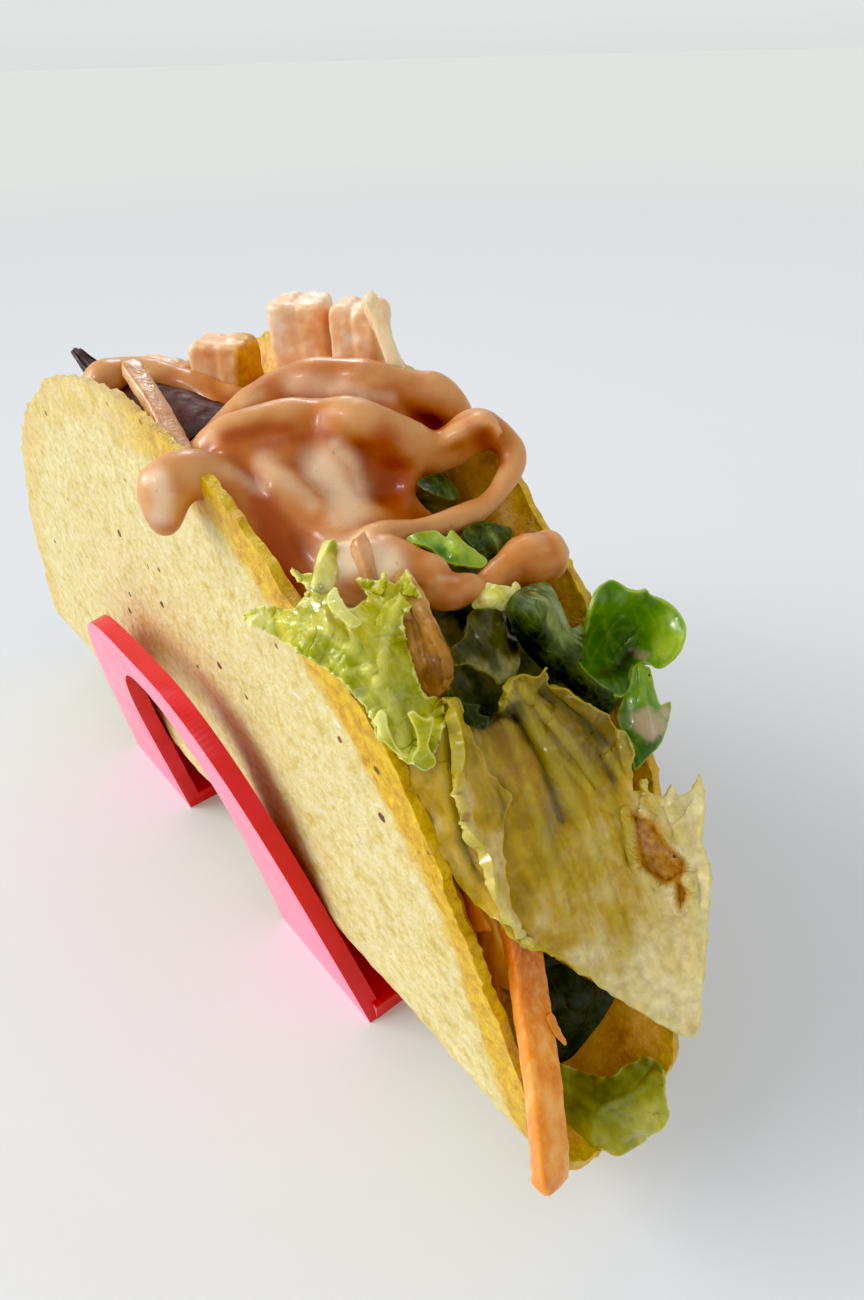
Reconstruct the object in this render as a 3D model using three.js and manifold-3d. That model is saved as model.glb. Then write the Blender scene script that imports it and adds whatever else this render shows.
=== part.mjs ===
// A filled hard-shell taco standing in a plastic holder, in millimetres, +Z up.
// +X runs along the fold towards the open end where the lettuce hangs out, and the
// holder stands on z = 0. The group is moved at the end so that its origin is the
// middle of the whole thing's footprint.
import * as THREE from 'three';
import { mergeVertices } from 'three/addons/utils/BufferGeometryUtils.js';
import Module from 'manifold-3d';

const wasm = await Module();
wasm.setup();

// ---- driving dimensions -------------------------------------------------------

const gap = 0.3;                       // clearance between pieces that touch

const tortilla = {
  halfLength: 63.84,                   // from the middle to each end of the fold
  halfWidth: 70,                       // from the fold to the rim, along the wall
  thickness: 2.3,
  foldRadius: 10,                      // outside radius of the bottom
  leftLean: 1.9,                       // outward lean of the -Y wall, degrees
  rightLean: 8.4,                      // outward lean of the +Y wall, degrees
  bottom: 5.887,                       // height of the fold above the table
  blister: 0.22,                       // height of the gentle waves in the walls
};

const holder = {
  centreX: 0,
  thickness: 2.1,
  lean: 10,                            // outward lean of each side panel, degrees
  footY: 9.8,                          // half width between the outer faces at the table
  footHalf: 34,                        // half length of a panel at the table
  footRise: 7.5,
  height: 41.2,
  topHalf: 5,
  windowHalf: 14,
  windowRise: 18,
  windowTop: 36,
  stripThickness: 2.2,
};

const heap = {
  farEnd: -50,
  nearEnd: 44,
  level: 61.5,                         // height of its top above the table
  crown: 4.5,                          // how much higher it stands near the middle
  crownLength: 10,
  sink: 2.4,                           // least depth of its top below the rim
  lump: 0.9,                           // height of the lumps on its surface
  shreds: 9,
};

const sauce = {
  ridge: 4.3,                          // thickness of the squeezed lines
  ribbon: 3.6,
  pool: 2.6,                           // depth of the sheet under them
  farEnd: -14,
  nearEnd: 29,
};

const leafThickness = 0.9;

// ---- helpers ------------------------------------------------------------------

const rad = THREE.MathUtils.degToRad;
const lerp = THREE.MathUtils.lerp;
const clamp = THREE.MathUtils.clamp;
const vec = (x, y, z) => new THREE.Vector3(x, y, z);
const path = (points) => new THREE.CatmullRomCurve3(points.map((p) => vec(...p)), false, 'centripetal');

// A geometry from points and triangles.
function meshOf(points, faces) {
  const geometry = new THREE.BufferGeometry();
  geometry.setAttribute('position', new THREE.Float32BufferAttribute(points.flatMap((p) => [p.x, p.y, p.z]), 3));
  geometry.setIndex(faces.flat());
  return geometry;
}

function solidOf(geometry) {
  const bare = geometry.clone();
  bare.deleteAttribute('normal');
  bare.deleteAttribute('uv');
  const merged = mergeVertices(bare, 1e-4);
  return new wasm.Manifold(new wasm.Mesh({
    numProp: 3,
    vertProperties: new Float32Array(merged.attributes.position.array),
    triVerts: new Uint32Array(merged.index.array),
  }));
}

function geometryOf(solid) {
  const mesh = solid.getMesh();
  const geometry = new THREE.BufferGeometry();
  geometry.setAttribute('position', new THREE.Float32BufferAttribute(Array.from(mesh.vertProperties), 3));
  geometry.setIndex(Array.from(mesh.triVerts));
  return geometry;
}

// Joins several geometries into one solid.
const join = (geometries) => geometries.map(solidOf).reduce((all, one) => all.add(one));

// Takes the grown neighbours away from a solid and keeps its largest body.
function carve(solid, neighbours) {
  const cut = neighbours.reduce((left, one) => left.subtract(solidOf(one(gap))), solid);
  const bodies = cut.decompose();
  return bodies.reduce((best, body) => (body.volume() > best.volume() ? body : best));
}

// Closes a front and a back grid of points, rows by columns, into one solid.
function closeGrids(front, back) {
  const rows = front.length;
  const columns = front[0].length;
  const points = [...front.flat(), ...back.flat()];
  const half = rows * columns;
  const at = (i, j) => i * columns + j;
  const faces = [];
  for (let i = 0; i < rows - 1; i += 1) {
    for (let j = 0; j < columns - 1; j += 1) {
      const [a, b, c, d] = [at(i, j), at(i + 1, j), at(i + 1, j + 1), at(i, j + 1)];
      faces.push([a, b, c], [a, c, d]);
      faces.push([half + a, half + c, half + b], [half + a, half + d, half + c]);
    }
  }
  const edge = [];
  for (let j = 0; j < columns - 1; j += 1) edge.push(at(0, j));
  for (let i = 0; i < rows - 1; i += 1) edge.push(at(i, columns - 1));
  for (let j = columns - 1; j > 0; j -= 1) edge.push(at(rows - 1, j));
  for (let i = rows - 1; i > 0; i -= 1) edge.push(at(i, 0));
  edge.forEach((p, k) => {
    const q = edge[(k + 1) % edge.length];
    faces.push([p, q, half + q], [p, half + q, half + p]);
  });
  return meshOf(points, faces);
}

// The point at (u, v), both from 0 to 1, of the smooth sheet through a grid of points.
function sheetPoint(grid, u, v) {
  const column = grid.map((row) => extend(path(row), v));
  return extend(new THREE.CatmullRomCurve3(column, false, 'centripetal'), u);
}

// A point of a curve, run on straight past its ends.
function extend(curve, u) {
  const inside = clamp(u, 0, 1);
  const point = curve.getPoint(inside);
  if (u !== inside) point.addScaledVector(curve.getTangent(inside), (u - inside) * curve.getLength());
  return point;
}

// A leaf: a thin wavy solid through a grid of points. Row 0 is the root, the last
// row is the free edge, and the waves grow towards it.
function leaf(grid, { rows = 8, columns = 8, ruffle = 0.6, waves = 3, thickness = leafThickness } = {}) {
  return (grow = 0) => {
    const margin = grow / 10;
    const front = [];
    const back = [];
    for (let i = 0; i <= rows; i += 1) {
      const u = lerp(-margin, 1 + margin, i / rows);
      front.push([]);
      back.push([]);
      for (let j = 0; j <= columns; j += 1) {
        const v = lerp(-margin, 1 + margin, j / columns);
        const centre = sheetPoint(grid, u, v);
        const along = sheetPoint(grid, u + 0.01, v).sub(centre);
        const across = sheetPoint(grid, u, v + 0.01).sub(centre);
        const normal = along.cross(across).normalize();
        const wave = ruffle * clamp(u, 0, 1) ** 1.5 * Math.sin(2 * Math.PI * waves * clamp(v, 0, 1));
        front[i].push(centre.clone().addScaledVector(normal, wave + thickness / 2 + grow));
        back[i].push(centre.clone().addScaledVector(normal, wave - thickness / 2 - grow));
      }
    }
    return closeGrids(front, back);
  };
}

// A closed tube along a path, its ends rounded. The section is an ellipse, or a
// rounded rectangle where square is above 0, with its width across `up`.
function tube(points, { width, height = width, sides = 8, step = 2, square = 0, up = null, wobble = 0 }) {
  return (grow = 0) => {
    const curve = path(points);
    const length = curve.getLength();
    const steps = Math.max(3, Math.round(length / step));
    const frames = curve.computeFrenetFrames(steps, false);
    const rings = [];
    for (let i = 0; i <= steps; i += 1) {
      const u = i / steps;
      const centre = curve.getPointAt(u);
      const tangent = frames.tangents[i];
      const side = up ? vec(...up).cross(tangent).normalize() : frames.normals[i];
      const top = up ? tangent.clone().cross(side) : frames.binormals[i];
      const end = Math.min(u, 1 - u) * length;
      const taper = square ? 1 : Math.sqrt(1 - (1 - clamp((end + 0.4 * width) / width, 0, 1)) ** 2);
      const swell = taper * (1 + wobble * Math.sin(u * length * 0.55));
      if (i === 0 || i === steps) centre.addScaledVector(tangent, (i === 0 ? -1 : 1) * grow);
      const ring = [];
      for (let k = 0; k < sides; k += 1) {
        const angle = 2 * Math.PI * (k + 0.5) / sides;
        const squash = (value) => Math.sign(value) * Math.abs(value) ** (1 - 0.6 * square);
        const across = squash(Math.cos(angle)) * (swell * width / 2 + grow);
        const over = squash(Math.sin(angle)) * (swell * height / 2 + grow);
        ring.push(centre.clone().addScaledVector(side, across).addScaledVector(top, over));
      }
      rings.push(ring);
    }
    const first = curve.getPointAt(0).addScaledVector(frames.tangents[0], -grow - (square ? 0.1 : 0.3 * width));
    const last = curve.getPointAt(1).addScaledVector(frames.tangents[steps], grow + (square ? 0.1 : 0.3 * width));
    return closeRings(rings, first, last);
  };
}

// Closes a row of rings into one solid, with a point at each end.
function closeRings(rings, first, last) {
  const sides = rings[0].length;
  const points = [first, ...rings.flat(), last];
  const faces = [];
  const at = (i, k) => 1 + i * sides + (k % sides);
  for (let k = 0; k < sides; k += 1) {
    faces.push([0, at(0, k + 1), at(0, k)]);
    faces.push([points.length - 1, at(rings.length - 1, k), at(rings.length - 1, k + 1)]);
    for (let i = 0; i < rings.length - 1; i += 1) {
      faces.push([at(i, k), at(i, k + 1), at(i + 1, k + 1)], [at(i, k), at(i + 1, k + 1), at(i + 1, k)]);
    }
  }
  const geometry = meshOf(points, faces);
  return signedVolume(geometry) < 0 ? meshOf(points, faces.map(([a, b, c]) => [a, c, b])) : geometry;
}

function signedVolume(geometry) {
  const position = geometry.getAttribute('position');
  const index = geometry.getIndex().array;
  const [a, b, c] = [vec(), vec(), vec()];
  let volume = 0;
  for (let k = 0; k < index.length; k += 3) {
    a.fromBufferAttribute(position, index[k]);
    b.fromBufferAttribute(position, index[k + 1]);
    c.fromBufferAttribute(position, index[k + 2]);
    volume += a.dot(b.cross(c)) / 6;
  }
  return volume;
}

// A lumpy rounded block: a sphere pressed towards a box, with shallow dents.
function chunk(centre, size, turn, { segments = 8, boxy = 0.55, dents = 0.06 } = {}) {
  return (grow = 0) => {
    const geometry = new THREE.SphereGeometry(1, segments, Math.round(segments * 0.7));
    geometry.deleteAttribute('normal');
    geometry.deleteAttribute('uv');
    const ball = mergeVertices(geometry, 1e-5);
    const position = ball.getAttribute('position');
    const rotation = new THREE.Euler(...turn.map(rad));
    for (let k = 0; k < position.count; k += 1) {
      const p = vec().fromBufferAttribute(position, k);
      const dent = 1 + dents * Math.sin(3.1 * p.x + 2.3 * p.y + 1.7) * Math.cos(2.7 * p.z + centre[0]);
      const press = (value) => Math.sign(value) * Math.abs(value) ** (1 - 0.5 * boxy) * dent;
      p.set(press(p.x) * size[0] / 2, press(p.y) * size[1] / 2, press(p.z) * size[2] / 2);
      p.addScaledVector(p.clone().normalize(), grow);
      p.applyEuler(rotation).add(vec(...centre));
      position.setXYZ(k, p.x, p.y, p.z);
    }
    return ball;
  };
}

// ---- the tortilla -------------------------------------------------------------

// The wall's direction, place and inward normal at a distance t from the fold,
// measured along the outside: negative on the -Y wall, positive on the +Y wall.
function wallPoint(t, inset) {
  const lean = rad(t < 0 ? tortilla.leftLean : tortilla.rightLean);
  const radius = tortilla.foldRadius;
  const turn = Math.PI / 2 - lean;
  const angle = Math.min(Math.abs(t) / radius, turn);
  const straight = Math.max(Math.abs(t) - radius * turn, 0);
  const y = radius * Math.sin(angle) + straight * Math.cos(angle) - inset * Math.sin(angle);
  const z = radius * (1 - Math.cos(angle)) + straight * Math.sin(angle) + inset * Math.cos(angle);
  return { y: Math.sign(t) * y, z: z + tortilla.bottom };
}

// Half the length of the tortilla at a distance t from the fold, with a slightly uneven rim.
function rimX(t) {
  const round = Math.sqrt(Math.max(1 - (t / tortilla.halfWidth) ** 2, 0));
  return tortilla.halfLength * round * (1 + 0.004 * Math.sin(t * 0.31) + 0.003 * Math.sin(t * 0.83));
}

// The rim's distance from the fold, along the wall, at a place x.
const rimT = (x) => tortilla.halfWidth * Math.sqrt(Math.max(1 - (x / tortilla.halfLength) ** 2, 0));
const rimZ = (x, side) => wallPoint(side * rimT(x), 0).z;

function tortillaShell(grow = 0) {
  const arc = 17;
  const rows = [];
  for (let k = 0; k <= 7; k += 1) {
    rows.push(-(arc + (tortilla.halfWidth - arc) * Math.sin((1 - k / 7) * Math.PI / 2)));
  }
  for (let k = 1; k < 18; k += 1) rows.push(lerp(-arc, arc, k / 18));
  for (let k = 0; k <= 7; k += 1) {
    rows.push(arc + (tortilla.halfWidth - arc) * Math.sin((k / 7) * Math.PI / 2));
  }
  const columns = 14;
  const tip = 0.06;                    // the wall's top edge is this much of its length
  const wallGrid = (inset) => rows.map((row) => {
    const t = row * (1 + grow / tortilla.halfWidth);
    const reach = Math.max(rimX(row), tip * tortilla.halfLength) + grow;
    const line = [];
    for (let j = 0; j <= columns; j += 1) {
      const across = Math.sin((j / columns - 0.5) * Math.PI);
      const x = reach * across;
      const wave = tortilla.blister * Math.sin(x / 7) * Math.sin(t / 9 + 1) * (grow ? 0 : 1);
      const { y, z } = wallPoint(t, inset - wave * (Math.abs(t) > arc ? 1 : 0));
      line.push(vec(x, y, z));
    }
    return line;
  });
  const swell = grow ? tortilla.blister : 0;
  return closeGrids(wallGrid(-grow - swell), wallGrid(tortilla.thickness + grow + swell));
}

// ---- the holder ---------------------------------------------------------------

// One side panel's outline: an arch with a window that is open at the table.
function archShape() {
  const { footHalf, footRise, height, topHalf, windowHalf, windowRise, windowTop } = holder;
  const arch = new THREE.Shape();
  arch.moveTo(windowHalf, 0);
  arch.lineTo(footHalf, 0);
  arch.lineTo(footHalf - 2.5, footRise);
  arch.bezierCurveTo(footHalf - 8, 22, footHalf - 13, height, topHalf, height);
  arch.lineTo(-topHalf, height);
  arch.bezierCurveTo(13 - footHalf, height, 8 - footHalf, 22, 2.5 - footHalf, footRise);
  arch.lineTo(-footHalf, 0);
  arch.lineTo(-windowHalf, 0);
  arch.lineTo(-windowHalf, windowRise);
  arch.bezierCurveTo(-windowHalf, windowRise + 10, -8, windowTop, 0, windowTop);
  arch.bezierCurveTo(8, windowTop, windowHalf, windowRise + 10, windowHalf, windowRise);
  arch.lineTo(windowHalf, 0);
  return arch;
}

function tacoHolder() {
  const { centreX, thickness, lean, footY, footHalf, windowHalf, stripThickness } = holder;
  const pieces = [-1, 1].map((side) => {
    const panel = new THREE.ExtrudeGeometry(archShape(), { depth: thickness, bevelEnabled: false, curveSegments: 7 });
    const stand = new THREE.Matrix4().makeRotationX(Math.PI / 2);
    const tilt = new THREE.Matrix4().makeRotationX(rad(lean));
    const move = new THREE.Matrix4().makeTranslation(centreX, -footY + thickness / Math.cos(rad(lean)), 0);
    panel.applyMatrix4(stand).applyMatrix4(tilt).applyMatrix4(move);
    if (side > 0) {
      panel.rotateZ(Math.PI);
      panel.translate(2 * centreX, 0, 0);
    }
    return panel;
  });
  const strips = [-1, 1].map((side) => {
    const strip = new THREE.BoxGeometry(footHalf - windowHalf, 2 * footY - 2, stripThickness);
    strip.translate(centreX + side * (footHalf + windowHalf) / 2, 0, stripThickness / 2);
    return strip;
  });
  const below = new THREE.BoxGeometry(200, 200, 10);
  below.translate(0, 0, -5);
  return join([...pieces, ...strips]).subtract(solidOf(below));
}

// ---- the pieces that lie on and hang out of the heap ---------------------------

// Firm pieces: coated chunks, carrot and onion strips, as functions of the clearance.
const carrotCut = { width: 3, height: 2.2, sides: 8, step: 4, square: 1 };
const thinCut = { width: 1.8, height: 1.5, sides: 6, step: 5, square: 1 };

const firmPieces = {
  coated_chunk_1: chunk([-6, 4.6, 66.4], [8, 7, 8], [10, 15, 35]),
  coated_chunk_2: chunk([3.9, 9.2, 72.4], [7, 6.4, 7.2], [0, 10, 20]),
  coated_chunk_3: chunk([9.6, 12.6, 72.2], [5.6, 6, 7.4], [10, 0, 40]),
  coated_chunk_4: chunk([34.2, -4.4, 59.4], [8.6, 5.4, 5.4], [0, 30, 20]),
  coated_chunk_5: chunk([-24, 3.4, 61.6], [8.4, 7, 6.4], [15, -10, 60]),
  coated_chunk_6: chunk([-40, 3.5, 53.5], [8, 6.6, 6.6], [0, -30, 25]),
  carrot_strip_1: tube([[51.5, -5.2, 38.5], [54.6, -6.2, 34.3], [57.9, -8, 29.8], [61.4, -9.9, 24.6], [63.9, -11.2, 18.4],
    [64.5, -11.6, 15.4]], { ...carrotCut, up: [1, 0, 0.3] }),
  carrot_strip_2: tube([[44.5, -7, 39.6], [47.2, -7.1, 37.6], [49.6, -7.1, 35.6]], { ...carrotCut, height: 1.9, up: [0, 1, 0] }),
  carrot_strip_3: tube([[51.1, -6.7, 33.9], [52.2, -7, 30.2], [53, -7.2, 26.8]], { ...carrotCut, height: 1.8, up: [0, 1, 0] }),
  carrot_strip_4: tube([[-16, -6.4, 64], [-22, -2.8, 62.4], [-30, 0.5, 60.4]], { ...carrotCut, up: [0, 0, 1] }),
  carrot_strip_5: tube([[-48, 5.2, 38.5], [-54, 6, 33], [-60, 6.4, 26], [-64, 6.6, 19], [-65.5, 6.8, 13]],
    { ...carrotCut, up: [-1, 0, 0.3] }),
  onion_strip_1: tube([[17.6, 11.4, 70.4], [15.4, 11, 74.8], [13.6, 10.8, 77.6]], { ...thinCut, up: [0.64, 0.77, 0] }),
  onion_strip_2: tube([[15.8, -8.1, 66.6], [7, -8.7, 69.6], [-1.8, -9.2, 72.4]], { ...thinCut, width: 2, up: [0, 0, 1] }),
  onion_strip_3: tube([[35.8, -6.3, 60.6], [34.6, -5.9, 62.6], [33.4, -5.5, 64.6]], { ...thinCut, width: 1.5, up: [0, 1, 0] }),
  lettuce_stem: tube([[37.6, 4.4, 56.8], [39.4, 6.6, 56.2], [40.4, 8.4, 56]], { ...thinCut, width: 2.4, up: [0, 0, 1] }),
};

const leaves = {
  lettuce_leaf_front: leaf([
    [[43, -6.6, 57.4], [43.6, -1.6, 57], [44.4, 2.4, 56], [46.6, 5.6, 53.4]],
    [[45.5, -8, 53.4], [46, -3, 53], [47.5, 3, 51.6], [50, 8.4, 49.6]],
    [[48.5, -8.3, 47], [50.6, -3.5, 46.4], [53.2, 4, 45], [57.5, 11.4, 44.2]],
    [[52, -8.4, 41], [54.6, -3.5, 39.4], [57.6, 2.5, 37], [63, 8.2, 36.4]],
    [[54.8, -8, 36.6], [57.4, -3.5, 31.4], [60.2, 0.8, 26.6], [66.2, 5, 23.4]],
  ], { rows: 12, columns: 10, ruffle: 0.7, waves: 2.5 }),
  lettuce_frill_front: leaf([
    [[33, -4.8, 57.6], [37, -4.8, 55.4], [42, -5, 51.4], [46, -5.6, 47]],
    [[31.5, -7.8, 62.6], [36.5, -8, 61.2], [41.5, -8, 58.2], [46, -8.6, 53.4]],
    [[30.4, -11, 64], [35.2, -11.4, 62.2], [40.6, -11.6, 59.4], [46, -11.6, 54]],
    [[28.4, -14.2, 60], [34, -14.4, 58.4], [40, -14, 57], [46.4, -13.4, 51.6]],
  ], { rows: 7, columns: 12, ruffle: 0.8, waves: 3 }),
  coated_leaf_fold: leaf([
    [[41.6, -4.6, 60.8], [42, -3.2, 61], [42.4, -1.8, 60.6]],
    [[44.6, -5.2, 58], [45.2, -3.6, 58.4], [45.4, -2, 57.8]],
    [[46.4, -5.6, 55], [47.2, -4, 55.2], [47.4, -2.4, 54.8]],
  ], { rows: 5, columns: 5, ruffle: 0.2, waves: 1, thickness: 1.2 }),
  rolled_leaf: leaf([
    [[40.3, 2.5, 59.6], [39.6, 5, 60.6], [40.5, 7.5, 59.6]],
    [[43.2, 4.3, 57], [42.5, 7, 58.4], [43.2, 9.4, 57]],
    [[45.6, 6.3, 53], [44.8, 8.6, 54], [45.2, 10.4, 52.6]],
    [[48.2, 8.4, 48.4], [47.8, 10.2, 49], [48, 11.4, 47.8]],
  ], { rows: 8, columns: 6, ruffle: 0.2, waves: 2 }),
  leaf_cup: leaf(dishGrid([47.9, 13, 53.2], [0.64, 0.77, 0], [-0.43, 0.38, 0.82], 4.7, 5.4, 3.2),
    { rows: 5, columns: 5, ruffle: 0.25, waves: 2 }),
  leaf_tip: leaf([
    [[49.8, 12.5, 48.2], [50.2, 13.6, 48.4], [50.6, 14.7, 48]],
    [[51.2, 13, 45], [51.8, 14.2, 45.2], [52.4, 15.4, 45]],
    [[52.4, 14, 41.8], [52.7, 14.4, 41.9], [53, 14.9, 41.8]],
  ], { rows: 5, columns: 4, ruffle: 0.15, waves: 1 }),
  leaf_bit_1: leaf([
    [[32.6, -0.6, 59.8], [33, 1.4, 60.4], [33.6, 3.2, 59.8]],
    [[34, -0.8, 60.4], [34.4, 1.3, 60.8], [35, 3.2, 60.2]],
    [[35.4, -1, 60.2], [35.8, 1.2, 60.4], [36.2, 3.2, 60]],
  ], { rows: 4, columns: 5, ruffle: 0.3, waves: 2 }),
  leaf_bit_2: leaf([
    [[33, 6, 59.4], [33.4, 8, 60], [34, 10, 59.4]],
    [[34.2, 6, 60], [34.6, 8, 60.4], [35.2, 10.2, 59.8]],
    [[35.6, 5.8, 60], [36, 8, 60.2], [36.4, 10.2, 59.6]],
  ], { rows: 4, columns: 5, ruffle: 0.3, waves: 2 }),
  leaf_bit_3: leaf([
    [[24.6, 5.2, 62.6], [25, 6.6, 63], [25.6, 8.2, 62.6]],
    [[26.2, 4.8, 63.6], [26.6, 6.4, 64], [27.2, 8, 63.6]],
    [[27.6, 4.6, 63], [28, 6.2, 63.4], [28.6, 7.8, 63]],
  ], { rows: 4, columns: 4, ruffle: 0.2, waves: 1 }),
  dark_leaf_inside: leaf([
    [[48, -4, 24], [50, 0, 25], [51, 4, 26]],
    [[52, -4, 17.6], [53.4, 0, 18.6], [54.4, 4.4, 20]],
    [[55, -3.6, 13.6], [56.2, 0.5, 13.2], [57.2, 4.2, 15.4]],
  ], { rows: 6, columns: 6, ruffle: 0.4, waves: 2 }),
  lettuce_piece_bottom: leaf([
    [[52, -4.6, 12], [53, 0, 10.2], [53, 4.6, 12]],
    [[58, -4.8, 13], [59, 0, 11], [59, 4.8, 12.6]],
    [[62, -4.4, 12.2], [63.5, 0.5, 10.6], [63.5, 5.2, 11.2]],
    [[64.5, -3.2, 10.8], [66.3, 1, 8.8], [66.8, 4.8, 8.4]],
  ], { rows: 7, columns: 6, ruffle: 0.4, waves: 1.5 }),
  purple_leaf: leaf([
    [[0, -7.6, 62.8], [0.4, -5.4, 63.4], [0.8, -3.2, 62.8]],
    [[-8, -7.8, 65.4], [-8, -5.8, 66], [-8, -3.6, 65.4]],
    [[-15, -8.2, 66.6], [-15, -6.4, 67.2], [-14.6, -4.6, 66.6]],
    [[-22.6, -7.8, 68.8], [-22.4, -7.1, 69], [-22.2, -6.4, 68.8]],
  ], { rows: 9, columns: 4, ruffle: 0.25, waves: 1.5 }),
  lettuce_leaf_back: leaf([
    [[-46, -7, 49.6], [-46.5, 0, 50], [-45, 9, 49.6]],
    [[-52, -7.4, 43], [-53, 0, 43.6], [-52, 8.8, 42.4]],
    [[-56, -7.4, 34], [-58, 0, 33], [-57.6, 8.2, 31]],
    [[-60.4, -6.6, 25], [-62.6, 0.4, 22.6], [-62.4, 4.2, 21.4]],
  ], { rows: 8, columns: 8, ruffle: 0.8, waves: 2 }),
  lettuce_frill_back: leaf([
    [[-31, 8, 56], [-36.5, 8, 53.4], [-42, 7.4, 48.4]],
    [[-30.5, 12.4, 62.2], [-36, 12.2, 59.6], [-42, 11.4, 54.8]],
    [[-30.5, 17, 62.8], [-36, 16.8, 60.2], [-42.3, 15.8, 55.2]],
    [[-30, 20, 58.6], [-36, 20.2, 55.6], [-43, 18.8, 50.6]],
  ], { rows: 7, columns: 10, ruffle: 0.8, waves: 2.5 }),
  dark_leaf_back: leaf([
    [[-35, -6, 54], [-38, -7, 52], [-41, -7.2, 50]],
    [[-38, -4, 57.4], [-42, -5, 55.4], [-45, -6, 52]],
    [[-41, -2, 59], [-45, -3, 56], [-48, -4, 52]],
  ], { rows: 6, columns: 6, ruffle: 0.4, waves: 2 }),
};

// A hollow sheet across two directions, its middle pressed in by `depth`.
function dishGrid(centre, right, up, halfWidth, halfHeight, depth) {
  const [across, above] = [vec(...right), vec(...up)];
  const out = across.clone().cross(above).normalize();
  return [-1, -0.5, 0, 0.5, 1].map((b) => [-1, -0.5, 0, 0.5, 1].map((a) => {
    const width = halfWidth * Math.sqrt(1 - 0.6 * b * b);
    const bowl = depth * (1 - a * a) * (1 - 0.6 * b * b);
    const p = vec(...centre).addScaledVector(across, a * width).addScaledVector(above, b * halfHeight);
    return p.addScaledVector(out, -bowl).toArray();
  }));
}

// ---- the heap of chopped salad inside -----------------------------------------

const wallClear = tortilla.thickness + tortilla.blister + 2 * gap;

// How high the heap's middle stands, with a crown near the middle of the taco.
function heapTop(x) {
  const crown = heap.crown * Math.exp(-(((x + 2) / heap.crownLength) ** 2));
  return Math.min(heap.level + crown, rimZ(x, -1) - heap.sink, rimZ(x, 1) - heap.sink);
}

// A ring of points round the inside at x: up one wall, over the top, down the other.
function fillRing(x, low, top, inset, wallSteps, topSteps, lump) {
  const ring = [];
  const edge = (z, side) => clamp(z - tortilla.bottom + 3, 0, rimT(x) - 1.5) * side;
  for (let k = 0; k <= 2 * wallSteps; k += 1) {
    const side = k < wallSteps ? -1 : 1;
    const share = Math.abs(k / wallSteps - 1) ** 0.8;
    const t = lerp(edge(low, side), edge(top, side), share);
    const { y, z } = wallPoint(low > tortilla.bottom && k === wallSteps ? 0 : t, inset);
    ring.push(vec(x, y, Math.max(z, low)));
  }
  const from = ring[ring.length - 1];
  const to = ring[0];
  for (let k = 1; k < topSteps; k += 1) {
    const v = k / topSteps;
    const bump = lump * Math.sin(x * 0.55 + 2.1 * k) * Math.cos(x * 0.23 - 1.3 * k);
    const rise = (top - lerp(from.z, to.z, v)) * Math.sin(Math.PI * v) ** 0.6;
    ring.push(vec(x + bump, lerp(from.y, to.y, v), lerp(from.z, to.z, v) + rise + bump));
  }
  return ring;
}

const middleOf = (ring) => ring.reduce((sum, p) => sum.add(p), vec(0, 0, 0)).divideScalar(ring.length);

function heapCore(grow) {
  const stations = 12;
  const inset = wallClear - grow;
  const rings = [];
  for (let i = 0; i <= stations; i += 1) {
    const x = lerp(heap.farEnd - grow, heap.nearEnd + grow, i / stations);
    rings.push(fillRing(x, 0, heapTop(x) + grow, inset, 6, 5, heap.lump));
  }
  const first = middleOf(rings[0]).add(vec(-2 - grow, 0, 0));
  const last = middleOf(rings[stations]).add(vec(2 + grow, 0, 0));
  return closeRings(rings, first, last);
}

// Shreds that lie on the far half of the heap, one after another at turning angles.
function heapShreds(grow) {
  const shreds = [];
  for (let k = 0; k < heap.shreds; k += 1) {
    const x = lerp(-15, -47, k / (heap.shreds - 1));
    const y = 2 + 5.5 * Math.sin(2.4 * k);
    const turn = 1.1 * k;
    const reach = 4.5 + 1.5 * Math.sin(3.7 * k);
    const at = (s) => [x + s * reach * Math.cos(turn), y + 0.5 * s * reach * Math.sin(turn),
      heapTop(x + s * reach * Math.cos(turn)) + 0.5 - 0.9 * s * s];
    shreds.push(tube([at(-1), at(0), at(1)], { width: 2.2, height: 1.6, sides: 5, step: 2.6, square: 0.5 })(grow));
  }
  return shreds;
}

const saladHeap = (grow = 0) => geometryOf(join([heapCore(grow), ...heapShreds(grow)]));

// ---- the sauce ----------------------------------------------------------------

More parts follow.
